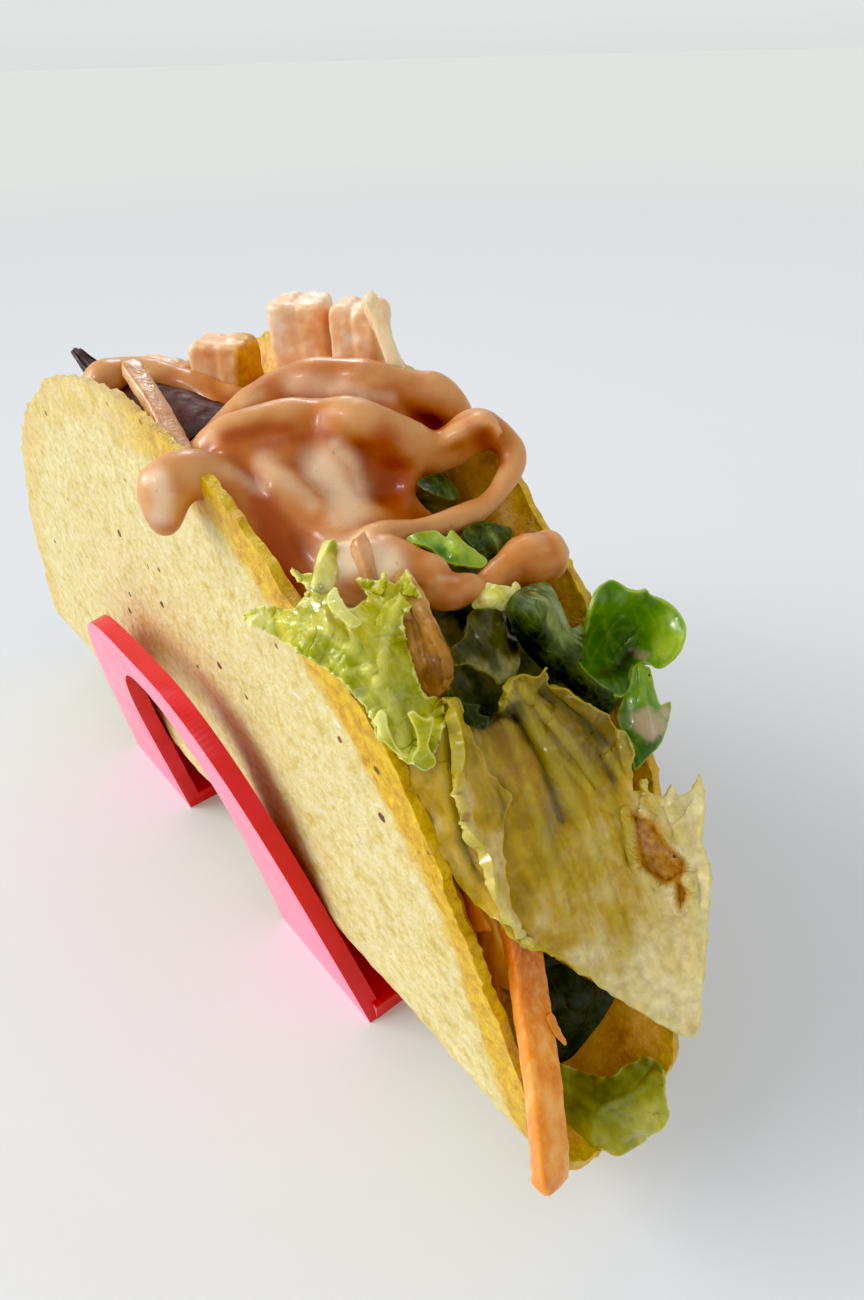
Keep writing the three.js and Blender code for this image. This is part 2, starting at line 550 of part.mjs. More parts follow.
const ridges = {
  farLoop: [[-11.8, -8.8, 67], [-11.8, -8, 68.8], [-11.6, -5, 69.4], [-8.4, -2, 68.8], [-4.6, 1.2, 67.2], [-1, 3.2, 66.4]],
  arch: [[9, -8, 64.6], [10.6, -3.4, 68.4], [10.6, 2, 70.6], [13.6, 6, 72.2], [17.6, 9, 72.2], [20, 12, 71.4], [21, 14.6, 69.6],
    [20.2, 16.2, 68.6]],
  loop: [[12.6, -9, 66.6], [14.6, -5, 69.6], [17.4, 1, 70.4], [21.8, 4, 70.8], [23.6, 7, 69.2], [24, 9.6, 67.8],
    [24.2, 12, 68], [25.8, 14.3, 68.6], [27.6, 15.6, 67.4], [29.4, 15.2, 65.2], [30.4, 13.2, 63.2], [30.7, 10, 61.6],
    [30.8, 6, 61.4], [30.6, 2, 62.2], [30.2, -2, 63.4], [28.8, -5, 62.8], [26, -7.4, 60.6]],
  inner: [[10, -6, 62.8], [12.9, -3, 63.4], [15.7, -1, 65.4], [18.8, 2, 67.4]],
  overRim: [[27, -7.6, 58.6], [24, -8, 60.6], [21, -7.8, 62.8], [18.2, -8.2, 64.6], [16.6, -10, 67], [16, -12.3, 67.8],
    [15.2, -14.2, 66.4], [15.9, -14.9, 63.8]],
  farZigzag: [[-3, 4, 65.6], [-12, 9.4, 65], [-17, 6, 64.4], [-17, -3, 64.4], [-22, -6.8, 63.4], [-27, -3, 62.6],
    [-27.5, 7, 62.4], [-32, 9, 60.6], [-36.5, 4, 58.4], [-36, -3, 58.2]],
};

const ribbon = [[31.4, -3.6, 62.4], [33.8, -1.8, 62.8], [36.4, -0.6, 61.8], [37, 1.6, 60], [36.9, 4.4, 59.6], [36.7, 7, 58.8],
  [36.2, 10, 59], [36.8, 12.4, 59.4], [37.4, 14.4, 58.8]];

// The sheet of sauce under the ridges: it reaches from wall to wall over the heap.
function saucePool(grow) {
  const stations = 10;
  const rings = [];
  for (let i = 0; i <= stations; i += 1) {
    const u = i / stations;
    const x = lerp(sauce.farEnd - grow, sauce.nearEnd + grow, u);
    const thick = sauce.pool * Math.sin(Math.PI * lerp(0.12, 0.88, u)) ** 0.5 + grow;
    const inset = wallClear - grow;
    const low = heapTop(x) - 1.5;
    rings.push(fillRing(x, low - grow, heapTop(x) + thick, inset, 2, 5, 0));
  }
  const first = middleOf(rings[0]).add(vec(-0.5 - grow, 0, 0));
  const last = middleOf(rings[stations]).add(vec(0.5 + grow, 0, 0));
  return closeRings(rings, first, last);
}

const sauceSwirl = (grow = 0) => {
  const swirls = Object.values(ridges).map((line) => tube(line, { width: sauce.ridge, sides: 6, step: 2.5, wobble: 0.06 })(grow));
  return geometryOf(join([saucePool(grow), ...swirls]));
};
const sauceRibbon = tube(ribbon, { width: sauce.ribbon, sides: 7, step: 2, wobble: 0.12 });

// ---- the whole taco -----------------------------------------------------------

const taco = new THREE.Group();

function addPiece(name, geometry, color, roughness, metalness = 0) {
  const mesh = new THREE.Mesh(geometry, new THREE.MeshStandardMaterial({ color, roughness, metalness }));
  mesh.name = name;
  taco.add(mesh);
}

const colours = {
  coated_chunk: 0xd9a26a,
  carrot_strip: 0xe07828,
  onion_strip: 0xf0d8a8,
  lettuce: 0xb8c458,
  coated_leaf: 0xc89060,
  rolled_leaf: 0x35602c,
  leaf_cup: 0x4c9428,
  leaf_tip: 0x4a6a30,
  leaf_bit: 0x6a9838,
  dark_leaf: 0x2c4422,
  purple_leaf: 0x44283a,
};
const colourOf = (name) => colours[Object.keys(colours).find((start) => name.startsWith(start))];

addPiece('tortilla_shell', tortillaShell(), 0xe8d88a, 0.8);
addPiece('taco_holder', geometryOf(tacoHolder()), 0xe0203c, 0.4);

// Each piece is cut clear of the ones before it that its box meets.
const placed = [{ box: boxOf(tortillaShell(gap)), solid: tortillaShell }];

function boxOf(geometry) {
  geometry.computeBoundingBox();
  return geometry.boundingBox;
}

function place(name, piece, color, roughness) {
  const box = boxOf(piece(gap));
  const neighbours = placed.filter((one) => one.box.intersectsBox(box)).map((one) => one.solid);
  addPiece(name, geometryOf(carve(solidOf(piece()), neighbours)), color, roughness);
  placed.push({ box, solid: piece });
}

for (const [name, piece] of Object.entries(firmPieces)) place(name, piece, colourOf(name), 0.5);
for (const [name, piece] of Object.entries(leaves)) place(name, piece, colourOf(name), 0.45);
place('salad_heap', saladHeap, 0xa0a058, 0.6);
place('sauce_ribbon', sauceRibbon, 0xd09468, 0.3);
place('sauce_swirl', sauceSwirl, 0xd09468, 0.3);

const bounds = new THREE.Box3().setFromObject(taco);
const middle = bounds.getCenter(vec());
taco.position.set(-middle.x, -middle.y, -bounds.min.z);
taco.updateMatrixWorld(true);

export default taco;
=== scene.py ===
import bpy
import math
import random
import numpy as np
from mathutils import Matrix, Vector, noise
from mathutils.bvhtree import BVHTree
from mathutils.geometry import delaunay_2d_cdt


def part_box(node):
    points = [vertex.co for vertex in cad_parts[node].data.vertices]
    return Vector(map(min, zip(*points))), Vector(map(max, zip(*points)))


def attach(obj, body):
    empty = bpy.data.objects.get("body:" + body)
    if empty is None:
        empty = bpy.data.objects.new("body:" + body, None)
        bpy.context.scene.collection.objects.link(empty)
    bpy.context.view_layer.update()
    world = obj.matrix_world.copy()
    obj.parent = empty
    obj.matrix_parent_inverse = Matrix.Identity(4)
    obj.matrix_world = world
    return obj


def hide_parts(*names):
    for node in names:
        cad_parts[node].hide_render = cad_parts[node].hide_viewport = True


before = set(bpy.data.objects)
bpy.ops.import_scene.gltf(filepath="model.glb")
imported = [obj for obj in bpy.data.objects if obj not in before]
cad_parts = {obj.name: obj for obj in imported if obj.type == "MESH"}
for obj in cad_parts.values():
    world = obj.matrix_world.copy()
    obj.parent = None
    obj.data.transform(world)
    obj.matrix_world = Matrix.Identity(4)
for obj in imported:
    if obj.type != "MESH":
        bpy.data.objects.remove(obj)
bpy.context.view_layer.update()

# All pieces are made in millimetres around the taco's own middle: x along the fold
# towards the open end, y across it, z up from the table. finishPiece puts them in
# the frame, in metres.
millimetre = 0.001
holderLow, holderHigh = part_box("taco_holder")
tacoMiddle = Vector(((holderLow.x + holderHigh.x) / 2, (holderLow.y + holderHigh.y) / 2, 0))


# small tools

def deselect():
    bpy.ops.object.select_all(action="DESELECT")


def activate(*pieces):
    deselect()
    for piece in pieces:
        piece.select_set(True)
    bpy.context.view_layer.objects.active = pieces[0]


def modify(piece, kind, **settings):
    activate(piece)
    bpy.ops.object.modifier_add(type=kind)
    modifier = piece.modifiers[-1]
    for name, value in settings.items():
        setattr(modifier, name, value)
    bpy.ops.object.modifier_apply(modifier=modifier.name)


def lumps(piece, size, height):
    texture = bpy.data.textures.new(piece.name + "Lumps", "CLOUDS")
    texture.noise_scale = size
    modify(piece, "DISPLACE", texture=texture, strength=height, mid_level=0.5)


def joinInto(first, *others):
    if others:
        activate(first, *others)
        bpy.ops.object.join()
    return first


def applyPlace():
    bpy.ops.object.transform_apply(location=True, rotation=True, scale=True)


def newPiece(name, points, faces):
    mesh = bpy.data.meshes.new(name)
    mesh.from_pydata(points, [], faces)
    piece = bpy.data.objects.new(name, mesh)
    bpy.context.collection.objects.link(piece)
    return piece


def turnOutwards(piece, merge=0.0):
    activate(piece)
    bpy.ops.object.mode_set(mode="EDIT")
    bpy.ops.mesh.select_all(action="SELECT")
    if merge:
        bpy.ops.mesh.remove_doubles(threshold=merge)
    bpy.ops.mesh.normals_make_consistent(inside=False)
    bpy.ops.object.mode_set(mode="OBJECT")


def finishPiece(piece, name, slot, material, *nodes, sharp=60):
    activate(piece)
    piece.name = name
    piece.data.name = name
    piece.scale = (millimetre,) * 3
    piece.location = tacoMiddle
    applyPlace()
    bpy.ops.object.shade_smooth_by_angle(angle=math.radians(sharp))
    piece.data.materials.clear()
    piece.data.materials.append(material)
    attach(piece, "root")
    if nodes:
        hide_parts(*nodes)
    deselect()
    print("made", name, len(piece.data.polygons), "faces")


def giveAttribute(piece, name, values):
    attribute = piece.data.attributes.new(name, "FLOAT", "POINT")
    attribute.data.foreach_set("value", np.asarray(values, np.float32))


def clamp(value, low=0.0, high=1.0):
    return max(low, min(high, value))


def smoothStep(low, high, value):
    share = clamp((value - low) / (high - low))
    return share * share * (3 - 2 * share)


def curvePoint(points, share):
    place = clamp(share) * (len(points) - 1)
    k = min(int(place), len(points) - 2)
    w = place - k
    b, c = points[k], points[k + 1]
    a = points[k - 1] if k > 0 else 2 * b - c
    d = points[k + 2] if k + 2 < len(points) else 2 * c - b
    ab = max((b - a).length, 1e-6) ** 0.5
    bc = max((c - b).length, 1e-6) ** 0.5
    cd = max((d - c).length, 1e-6) ** 0.5
    start = ((b - a) / ab - (c - a) / (ab + bc) + (c - b) / bc) * bc
    end = ((c - b) / bc - (d - b) / (bc + cd) + (d - c) / cd) * bc
    point = b + start * w + (3 * (c - b) - 2 * start - end) * w ** 2 + (2 * (b - c) + start + end) * w ** 3
    if share != clamp(share):
        run = (points[1] - points[0]) if share < 0 else (points[-1] - points[-2])
        point = point + run * (share - clamp(share)) * (len(points) - 1)
    return point


# materials

def colour(code):
    parts = [int(code[k:k + 2], 16) / 255 for k in (0, 2, 4)]
    return tuple(p / 12.92 if p <= 0.04045 else ((p + 0.055) / 1.055) ** 2.4 for p in parts) + (1,)


def fillRamp(elements, stops):
    while len(elements) < len(stops):
        elements.new(0.5)
    for element, (place, code) in zip(elements, stops):
        element.position = place
        element.color = colour(code) if isinstance(code, str) else (code, code, code, 1)


class Nodes:
    def __init__(self, name, **sockets):
        self.material = bpy.data.materials.new(name)
        self.material.use_nodes = True
        self.tree = self.material.node_tree
        self.shader = self.tree.nodes["Principled BSDF"]
        for socket, value in sockets.items():
            self.shader.inputs[socket.replace("_", " ")].default_value = value
        self.coordinates = self.add("ShaderNodeTexCoord").outputs["Object"]

    def add(self, kind, inputs=None, **settings):
        made = self.tree.nodes.new(kind)
        for name, value in settings.items():
            setattr(made, name, value)
        for socket, value in (inputs or {}).items():
            self.put(made.inputs[socket], value)
        return made

    def put(self, socket, value):
        if isinstance(value, bpy.types.NodeSocket):
            self.tree.links.new(value, socket)
        else:
            socket.default_value = value

    def mapped(self, stretch=(1, 1, 1)):
        scale = [s / millimetre for s in stretch]
        mapping = self.add("ShaderNodeMapping", {"Vector": self.coordinates, "Scale": scale})
        return mapping.outputs["Vector"]

    def streaked(self, turn, stretch):
        # places measured along a turned frame, so that a noise on them runs in streaks
        mapping = self.add("ShaderNodeMapping", {"Vector": self.coordinates, "Rotation": turn,
                           "Scale": [s * millimetre for s in stretch]}, vector_type="TEXTURE")
        return mapping.outputs["Vector"]

    def noise(self, size, detail=3.0, roughness=0.5, vector=None):
        made = self.add("ShaderNodeTexNoise", {"Vector": vector or self.mapped(), "Scale": 1 / size,
                        "Detail": detail, "Roughness": roughness})
        return made.outputs["Fac"]

    def cells(self, size, output="Distance", feature="F1"):
        made = self.add("ShaderNodeTexVoronoi", {"Vector": self.mapped(), "Scale": 1 / size},
                        feature=feature)
        return made.outputs[output]

    def ramp(self, factor, *stops):
        made = self.add("ShaderNodeValToRGB", {"Fac": factor})
        fillRamp(made.color_ramp.elements, stops)
        return made.outputs["Color"]

    def mix(self, factor, first, second):
        made = self.add("ShaderNodeMix", data_type="RGBA")
        self.put(made.inputs["Factor"], factor)
        self.put(made.inputs[6], colour(first) if isinstance(first, str) else first)
        self.put(made.inputs[7], colour(second) if isinstance(second, str) else second)
        return made.outputs[2]

    def math(self, operation, first, second=0.0, third=0.0):
        made = self.add("ShaderNodeMath", operation=operation)
        for k, value in enumerate((first, second, third)):
            self.put(made.inputs[k], value)
        return made.outputs[0]

    def between(self, value, low, high):
        made = self.add("ShaderNodeMapRange", {"Value": value, "From Min": low, "From Max": high},
                        interpolation_type="SMOOTHSTEP")
        return made.outputs["Result"]

    def attribute(self, name):
        return self.add("ShaderNodeAttribute", attribute_name=name).outputs["Fac"]

    def bump(self, height, distance, strength):
        made = self.add("ShaderNodeBump", {"Height": height, "Distance": distance * millimetre,
                        "Strength": strength})
        return made.outputs["Normal"]

    def finish(self, base, roughness=None, normal=None):
        for socket, value in (("Base Color", base), ("Roughness", roughness), ("Normal", normal)):
            if value is not None:
                self.put(self.shader.inputs[socket], value)
        return self.material


# camera, floor and lights

camera = {
    "place": (85.29, -39.79, 96.60),
    "lookAt": (21.45, 11.45, 39.16),
    "roll": -1.6,
    "frame": (864, 1300),              # in pixels
    "focal": 850,                      # in the same pixels
    "sensor": 36,
    "clip": (0.005, 50),
}


def makeCamera():
    place = Vector(camera["place"])
    forward = Vector(camera["lookAt"]) - place
    bpy.ops.object.camera_add(location=place * millimetre + tacoMiddle)
    eye = bpy.context.object
    turn = forward.to_track_quat("-Z", "Y").to_matrix() @ Matrix.Rotation(math.radians(camera["roll"]), 3,
                                                                          "Z")
    eye.rotation_euler = turn.to_euler()
    eye.data.sensor_width = camera["sensor"]
    eye.data.lens = camera["focal"] / camera["frame"][1] * camera["sensor"]
    eye.data.clip_start, eye.data.clip_end = camera["clip"]
    bpy.context.scene.camera = eye


studio = {
    "floorWidth": 40,
    # reach from the taco in metres, and the floor's colour there; the colour changes a little with distance
    # as painted light, to even out the floor's brightness against the sky
    "floorColour": [(0.2, "E6E8EA"), (0.6, "E2E3E1"), (1.0, "E8E8E3")],
    # the room from the horizon up: height of the direction and colour there
    "sky": [(0.0, "DEE0E0"), (0.03, "E3E5E5"), (0.1, "DCDEDE"), (0.35, "CCCFD2"), (1.0, "D6D9DC")],
    "skyStrength": 1.0,
    # where the sun stands from the taco, its strength, and its width in degrees
    "sun": ((-190, -230, 165), 2.0, 46),
    # linear light taken off the whole picture, which keeps the deep shadows clear
    "black": (0.009, 0.0095, 0.011),
    "lightsLookAt": (0, 0, 35),
    # these make the shine only: place and size in millimetres, strength in watts, colour
    "lights": {
        "windowLeft": ((-190, -230, 190), 110, 0.9, "FFFFFF"),
        "windowBack": ((-260, 160, 300), 90, 0.5, "FAFCFF"),
        "spark": ((10, -190, 250), 26, 0.2, "FFFFFF"),
    },
}


def makeStudio():
    bpy.ops.mesh.primitive_plane_add(size=studio["floorWidth"])
    floor = bpy.context.object
    floor.name = "floor"
    surface = Nodes("paleFloor", Roughness=0.7)
    away = surface.add("ShaderNodeVectorMath", {0: surface.coordinates},
                       operation="LENGTH").outputs["Value"]
    floor.data.materials.append(surface.finish(surface.ramp(away, *studio["floorColour"])))
    world = bpy.data.worlds.new("paleRoom")
    bpy.context.scene.world = world
    world.use_nodes = True
    links = world.node_tree
    direction = links.nodes.new("ShaderNodeTexCoord")
    parts = links.nodes.new("ShaderNodeSeparateXYZ")
    ramp = links.nodes.new("ShaderNodeValToRGB")
    links.links.new(direction.outputs["Generated"], parts.inputs["Vector"])
    links.links.new(parts.outputs["Z"], ramp.inputs["Fac"])
    fillRamp(ramp.color_ramp.elements, studio["sky"])
    background = links.nodes["Background"]
    links.links.new(ramp.outputs["Color"], background.inputs["Color"])
    background.inputs["Strength"].default_value = studio["skyStrength"]
    place, strength, width = studio["sun"]
    bpy.ops.object.light_add(type="SUN", location=Vector(place) * millimetre)
    sun = bpy.context.object
    sun.name = "softSun"
    sun.data.energy = strength
    sun.data.angle = math.radians(width)
    sun.rotation_euler = Vector(place).to_track_quat("Z", "Y").to_euler()
    for name, (place, size, watts, code) in studio["lights"].items():
        spot = Vector(place)
        bpy.ops.object.light_add(type="AREA", location=spot * millimetre)
        light = bpy.context.object
        light.name = name
        light.visible_diffuse = False
        light.data.size = size * millimetre
        light.data.energy = watts
        light.data.color = colour(code)[:3]
        light.rotation_euler = (Vector(studio["lightsLookAt"]) - spot).to_track_quat("-Z", "Y").to_euler()
    looks = bpy.context.scene.view_settings
    looks.view_transform = "Standard"
    looks.use_curve_mapping = True
    looks.curve_mapping.black_level = studio["black"]
    looks.curve_mapping.update()
    deselect()


makeCamera()
makeStudio()
print("camera and lights")


# places as the camera sees them

# Outlines are in pixels of the camera's frame. A depth point is a pixel and its distance
# in front of the camera in millimetres, a tone point is a pixel and a share from 0, pale,
# to 1, green.
eyePlace = Vector(camera["place"])
eyeTurn = bpy.context.scene.camera.rotation_euler.to_matrix()
middleX, middleY = (side / 2 for side in camera["frame"])


def viewPoint(px, py, depth):
    ray = Vector(((px - middleX) / camera["focal"], -(py - middleY) / camera["focal"], -1))
    return eyePlace + eyeTurn @ ray * depth


def viewHeight(px, py, z):
    ray = viewPoint(px, py, 1) - eyePlace
    return eyePlace + ray * ((z - eyePlace.z) / ray.z)


def viewPixel(place):
    seen = eyeTurn.transposed() @ (place - eyePlace)
    return middleX + camera["focal"] * seen.x / -seen.z, middleY - camera["focal"] * seen.y / -seen.z


def smoothField(controls):
    # a thin plate bent through the control points
    places = np.array([(c[0], c[1]) for c in controls], float) / 100
    values = np.array([c[2] for c in controls], float)
    count = len(places)

    def kernel(a, b):
        gap = np.linalg.norm(a[:, None] - b[None], axis=2)
        return gap ** 2 * np.log(gap + 1e-9)

    left = np.zeros((count + 3, count + 3))
    left[:count, :count] = kernel(places, places) + 0.002 * np.eye(count)
    left[:count, count:] = np.column_stack([np.ones(count), places])
    left[count:, :count] = left[:count, count:].T
    weights = np.linalg.solve(left, np.concatenate([values, np.zeros(3)]))

    def field(points):
        points = np.asarray(points, float) / 100
        plane = np.column_stack([np.ones(len(points)), points])
        return kernel(points, places) @ weights[:count] + plane @ weights[count:]

    return field


def lineGap(points, line):
    best = np.full(len(points), 1e9)
    along = np.zeros(len(points))
    run = 0.0
    for a, b in zip(line[:-1], line[1:]):
        a, b = np.array(a, float), np.array(b, float)
        length = max(np.linalg.norm(b - a), 1e-6)
        share = np.clip((points - a) @ (b - a) / length ** 2, 0, 1)
        gap = np.linalg.norm(points - a - share[:, None] * (b - a), axis=1)
        nearer = gap < best
        best = np.where(nearer, gap, best)
        along = np.where(nearer, run + share * length, along)
        run += length
    return best, along


def insideOutline(points, outline):
    x, y = points[:, 0], points[:, 1]
    inside = np.zeros(len(points), bool)
    for (ax, ay), (bx, by) in zip(outline, np.roll(outline, -1, axis=0)):
        crosses = (ay > y) != (by > y)
        with np.errstate(divide="ignore", invalid="ignore"):
            inside ^= crosses & (x < (bx - ax) * (y - ay) / (by - ay) + ax)
    return inside


# the tortilla

tortilla = {
    "halfLength": 63.84,
    "halfWidth": 70,                   # from the fold to the rim, along the wall
    "thickness": 2.3,
    "foldRadius": 10,
    "leftLean": 1.9,
    "rightLean": 8.4,
    "bottom": 5.887,
    "cells": 196,                      # quads across the sheet
    "rimThin": 0.42,                   # thickness left at the very edge
    "raggedEdge": 0.46,
    "trims": [(55, 5.5, 2.6), (34, 6, 1.0)],   # broken stretches of the near rim: middle, reach, depth
    "blisters": [(7.0, 0.5), (2.2, 0.32), (0.9, 0.2)],   # size and height
}


def wallPlace(t, inset=0.0):
    radius = tortilla["foldRadius"]
    turn = math.pi / 2 - math.radians(tortilla["leftLean"] if t < 0 else tortilla["rightLean"])
    angle = min(abs(t) / radius, turn)
    straight = max(abs(t) - radius * turn, 0)
    y = radius * math.sin(angle) + straight * math.cos(angle) - inset * math.sin(angle)
    z = radius * (1 - math.cos(angle)) + straight * math.sin(angle) + inset * math.cos(angle)
    return math.copysign(y, t), z + tortilla["bottom"]


def makeTortilla():
    # a square grid is pressed into a disc, then folded over the round bottom
    cells = tortilla["cells"]
    bpy.ops.mesh.primitive_grid_add(x_subdivisions=cells, y_subdivisions=cells, size=2)
    shell = bpy.context.object
    shell.name = "tortillaShell"
    rims = []
    for vertex in shell.data.vertices:
        a, b = vertex.co.x, vertex.co.y
        across = a * math.sqrt(1 - b * b / 2)
        along = b * math.sqrt(1 - a * a / 2)
        out = math.hypot(across, along)
        t = along * tortilla["halfWidth"]
        edge = smoothStep(0.86, 1, out)
        ragged = noise.noise(Vector((across * 34, along * 34, 3)))
        ragged += 0.7 * noise.noise(Vector((across * 85, along * 85, 9)))
        wave = 1 + 0.004 * math.sin(t * 0.31) + 0.003 * math.sin(t * 0.83)
        place = across * tortilla["halfLength"]
        trim = sum(deep * math.exp(-((place - at) / reach) ** 2)
                   for at, reach, deep in tortilla["trims"] if t < 0)
        torn = ragged * tortilla["raggedEdge"] - trim
        grow = 1 + edge * (wave - 1) + edge * torn / tortilla["halfWidth"]
        t *= grow
        x = across * tortilla["halfLength"] * grow
        y, z = wallPlace(t)
        vertex.co = (x, y, z)
        rims.append((1 - out) * tortilla["halfWidth"])
    giveAttribute(shell, "rimGap", rims)
    # the near wall's rim is oilier towards the open end
    oil = [0.3 + 0.7 * smoothStep(-4, 13, v.co.x + 4 * max(v.co.y, 0)) for v in shell.data.vertices]
    giveAttribute(shell, "oil", oil)
    group = shell.vertex_groups.new(name="thickness")
    for index, gap in enumerate(rims):
        group.add([index], smoothStep(-0.6, 5.5, gap), "REPLACE")
    count = len(shell.data.vertices)
    modify(shell, "SOLIDIFY", thickness=tortilla["thickness"], offset=1, vertex_group="thickness",
           thickness_vertex_group=tortilla["rimThin"])
    sides = np.zeros(len(shell.data.vertices), np.float32)
    sides[:count] = 1
    giveAttribute(shell, "inside", sides)
    for size, height in tortilla["blisters"]:
        lumps(shell, size, height)
    return shell


def tortillaMaterial():
    skin = Nodes("friedCorn", Roughness=0.55, Subsurface_Weight=0.08, Subsurface_Scale=0.001,
                 Subsurface_Radius=(1.0, 0.8, 0.4))
    broad = skin.noise(11, 3)
    fine = skin.noise(1.1, 5, 0.65)
    outer = skin.ramp(broad, (0.3, "DCC878"), (0.55, "E4D28C"), (0.75, "EADAA0"))
    grains = skin.ramp(fine, (0.28, "C8A848"), (0.44, "E2CE7E"), (0.62, "F2E6B8"))
    outer = skin.mix(0.6, outer, grains)
    # olive and gold patches where the oil has soaked in
    gold = skin.math("MULTIPLY", skin.between(skin.noise(2.6, 4, 0.6), 0.54, 0.7), 0.7)
    outer = skin.mix(gold, outer, "CDB03C")
    chalk = skin.math("MULTIPLY", skin.between(skin.noise(1.6, 3, 0.6), 0.62, 0.74), 0.6)
    outer = skin.mix(chalk, outer, "FCF8E0")
    # the rim's oily yellow band, with an uneven lower edge
    gap = skin.attribute("rimGap")
    uneven = skin.math("MULTIPLY_ADD", skin.noise(5, 4, 0.6), 7.0, -3.5)
    band = skin.math("ADD", gap, uneven)
    bandShare = skin.math("MULTIPLY", skin.between(band, 6.4, 3.6), skin.attribute("oil"))
    rim = skin.ramp(skin.noise(1.3, 5, 0.7), (0.28, "B87A02"), (0.44, "D8A402"), (0.58, "EAC004"),
                    (0.76, "F4D428"))
    outer = skin.mix(bandShare, outer, rim)
    # the inner wall, in a deeper golden orange than the outer side
    inner = skin.ramp(skin.noise(2.4, 6, 0.7), (0.28, "C47A14"), (0.45, "F0AC2C"), (0.6, "FFC84C"),
                      (0.76, "FFE07C"))
    within = skin.math("MULTIPLY", skin.between(skin.attribute("inside"), 0.3, 0.7),
                       skin.between(gap, 0.5, 2.2))
    whole = skin.mix(within, outer, inner)
    # dark specks and red-brown dots
    spot = skin.cells(4.2, "Distance")
    pick = skin.cells(4.2, "Color")
    dotSize = skin.math("MULTIPLY", skin.between(pick, 0.5, 0.9), 0.115)
    dot = skin.math("LESS_THAN", skin.math("ADD", spot, skin.math("MULTIPLY_ADD", fine, 0.16, -0.08)),
                    dotSize)
    speckColour = skin.ramp(pick, (0.6, "C08A2C"), (0.8, "7A4A14"), (0.94, "2E200E"))
    whole = skin.mix(dot, whole, speckColour)
    rough = skin.ramp(bandShare, (0.0, 0.62), (1.0, 0.36))
    height = skin.math("ADD", skin.noise(0.55, 4, 0.7), skin.math("MULTIPLY", skin.noise(1.8, 4, 0.6), 1.2))
    return skin.finish(whole, rough, skin.bump(height, 0.28, 0.8))


finishPiece(makeTortilla(), "tortilla_skin", "tortilla", tortillaMaterial(), "tortilla_shell")


# the holder

holder = {
    "thickness": 2.1,
    "lean": 10,
    "footY": 9.8,
    "footHalf": 34,
    "footRise": 7.5,
    "height": 41.2,
    "topHalf": 5,
    "shoulderIn": 2.5,
    "sideBend": (8, 22, 13),           # how the sides curve in: in from the foot, up, in at the top
    "windowHalf": 14,
    "windowRise": 18,
    "windowTop": 36,
    "windowBend": (10, 8),             # how the window's corners curve: up and out
    "stripThickness": 2.2,
    "edgeRound": 0.45,
}


def bezierRun(a, b, c, d, steps):
    def at(s, i):
        return ((1 - s) ** 3 * a[i] + 3 * (1 - s) ** 2 * s * b[i] + 3 * (1 - s) * s ** 2 * c[i]
                + s ** 3 * d[i])

    shares = [(k + 1) / steps for k in range(steps)]
    return [(at(s, 0), at(s, 1)) for s in shares]


def archOutline():
    foot, top, height = holder["footHalf"], holder["topHalf"], holder["height"]
    half, rise, crest = holder["windowHalf"], holder["windowRise"], holder["windowTop"]
    sideIn, sideZ, topIn = holder["sideBend"]
    windowUp, windowOut = holder["windowBend"]
    shoulder, corner = (foot - holder["shoulderIn"], holder["footRise"]), (-half, rise)
    right = [(half, 0), (foot, 0), shoulder]
    right += bezierRun(shoulder, (foot - sideIn, sideZ), (foot - topIn, height), (top, height), 24)
    left = [(-x, z) for x, z in reversed(right)]
    window = [corner] + bezierRun(corner, (-half, rise + windowUp), (-windowOut, crest), (0, crest), 14)
    window += bezierRun((0, crest), (windowOut, crest), (half, rise + windowUp), (half, rise), 14)
    return right + left + window


def makeHolderPanel(side):
    outline = archOutline()
    panel = newPiece("holderPanel", [(x, 0, z) for x, z in outline], [tuple(range(len(outline)))])
    activate(panel)
    bpy.ops.object.mode_set(mode="EDIT")
    bpy.ops.mesh.select_all(action="SELECT")
    bpy.ops.mesh.normals_make_consistent()
    bpy.ops.mesh.extrude_region_move(TRANSFORM_OT_translate={"value": (0, -holder["thickness"], 0)})
    bpy.ops.object.mode_set(mode="OBJECT")
    turnOutwards(panel)
    lean = math.radians(holder["lean"])
    panel.rotation_euler = (lean, 0, 0)
    panel.location = (0, -holder["footY"] + holder["thickness"] / math.cos(lean), 0)
    applyPlace()
    if side > 0:
        panel.rotation_euler = (0, 0, math.pi)
        applyPlace()
    return panel


def makeHolder():
    panels = [makeHolderPanel(side) for side in (-1, 1)]
    foot, half = holder["footHalf"], holder["windowHalf"]
    for side in (-1, 1):
        middle = (side * (foot + half) / 2, 0, holder["stripThickness"] / 2)
        bpy.ops.mesh.primitive_cube_add(size=1, location=middle)
        strip = bpy.context.object
        strip.scale = (foot - half, 2 * holder["footY"] - 2, holder["stripThickness"])
        applyPlace()
        modify(panels[0], "BOOLEAN", operation="UNION", solver="EXACT", object=strip)
        bpy.data.objects.remove(strip)
    modify(panels[0], "BOOLEAN", operation="UNION", solver="EXACT", object=panels[1])
    bpy.data.objects.remove(panels[1])
    stand = panels[0]
    # what the leaning panels reach below the table is cut off
    bpy.ops.mesh.primitive_cube_add(size=1, location=(0, 0, -5))
    below = bpy.context.object
    below.scale = (200, 200, 10)
    applyPlace()
    modify(stand, "BOOLEAN", operation="DIFFERENCE", solver="EXACT", object=below)
    bpy.data.objects.remove(below)
    modify(stand, "BEVEL", width=holder["edgeRound"], segments=3, limit_method="ANGLE",
           angle_limit=math.radians(35), use_clamp_overlap=True)
    # the broad outer sides are marked for a pale pink: painted light, for the strong light that falls on
    # them
    stand.data.attributes.new("paintedLitSide", "FLOAT", "FACE")
    facing = [clamp(6 * (f.normal.y * math.copysign(1, f.center.y) - 0.8)) for f in stand.data.polygons]
    stand.data.attributes["paintedLitSide"].data.foreach_set("value", facing)
    return stand


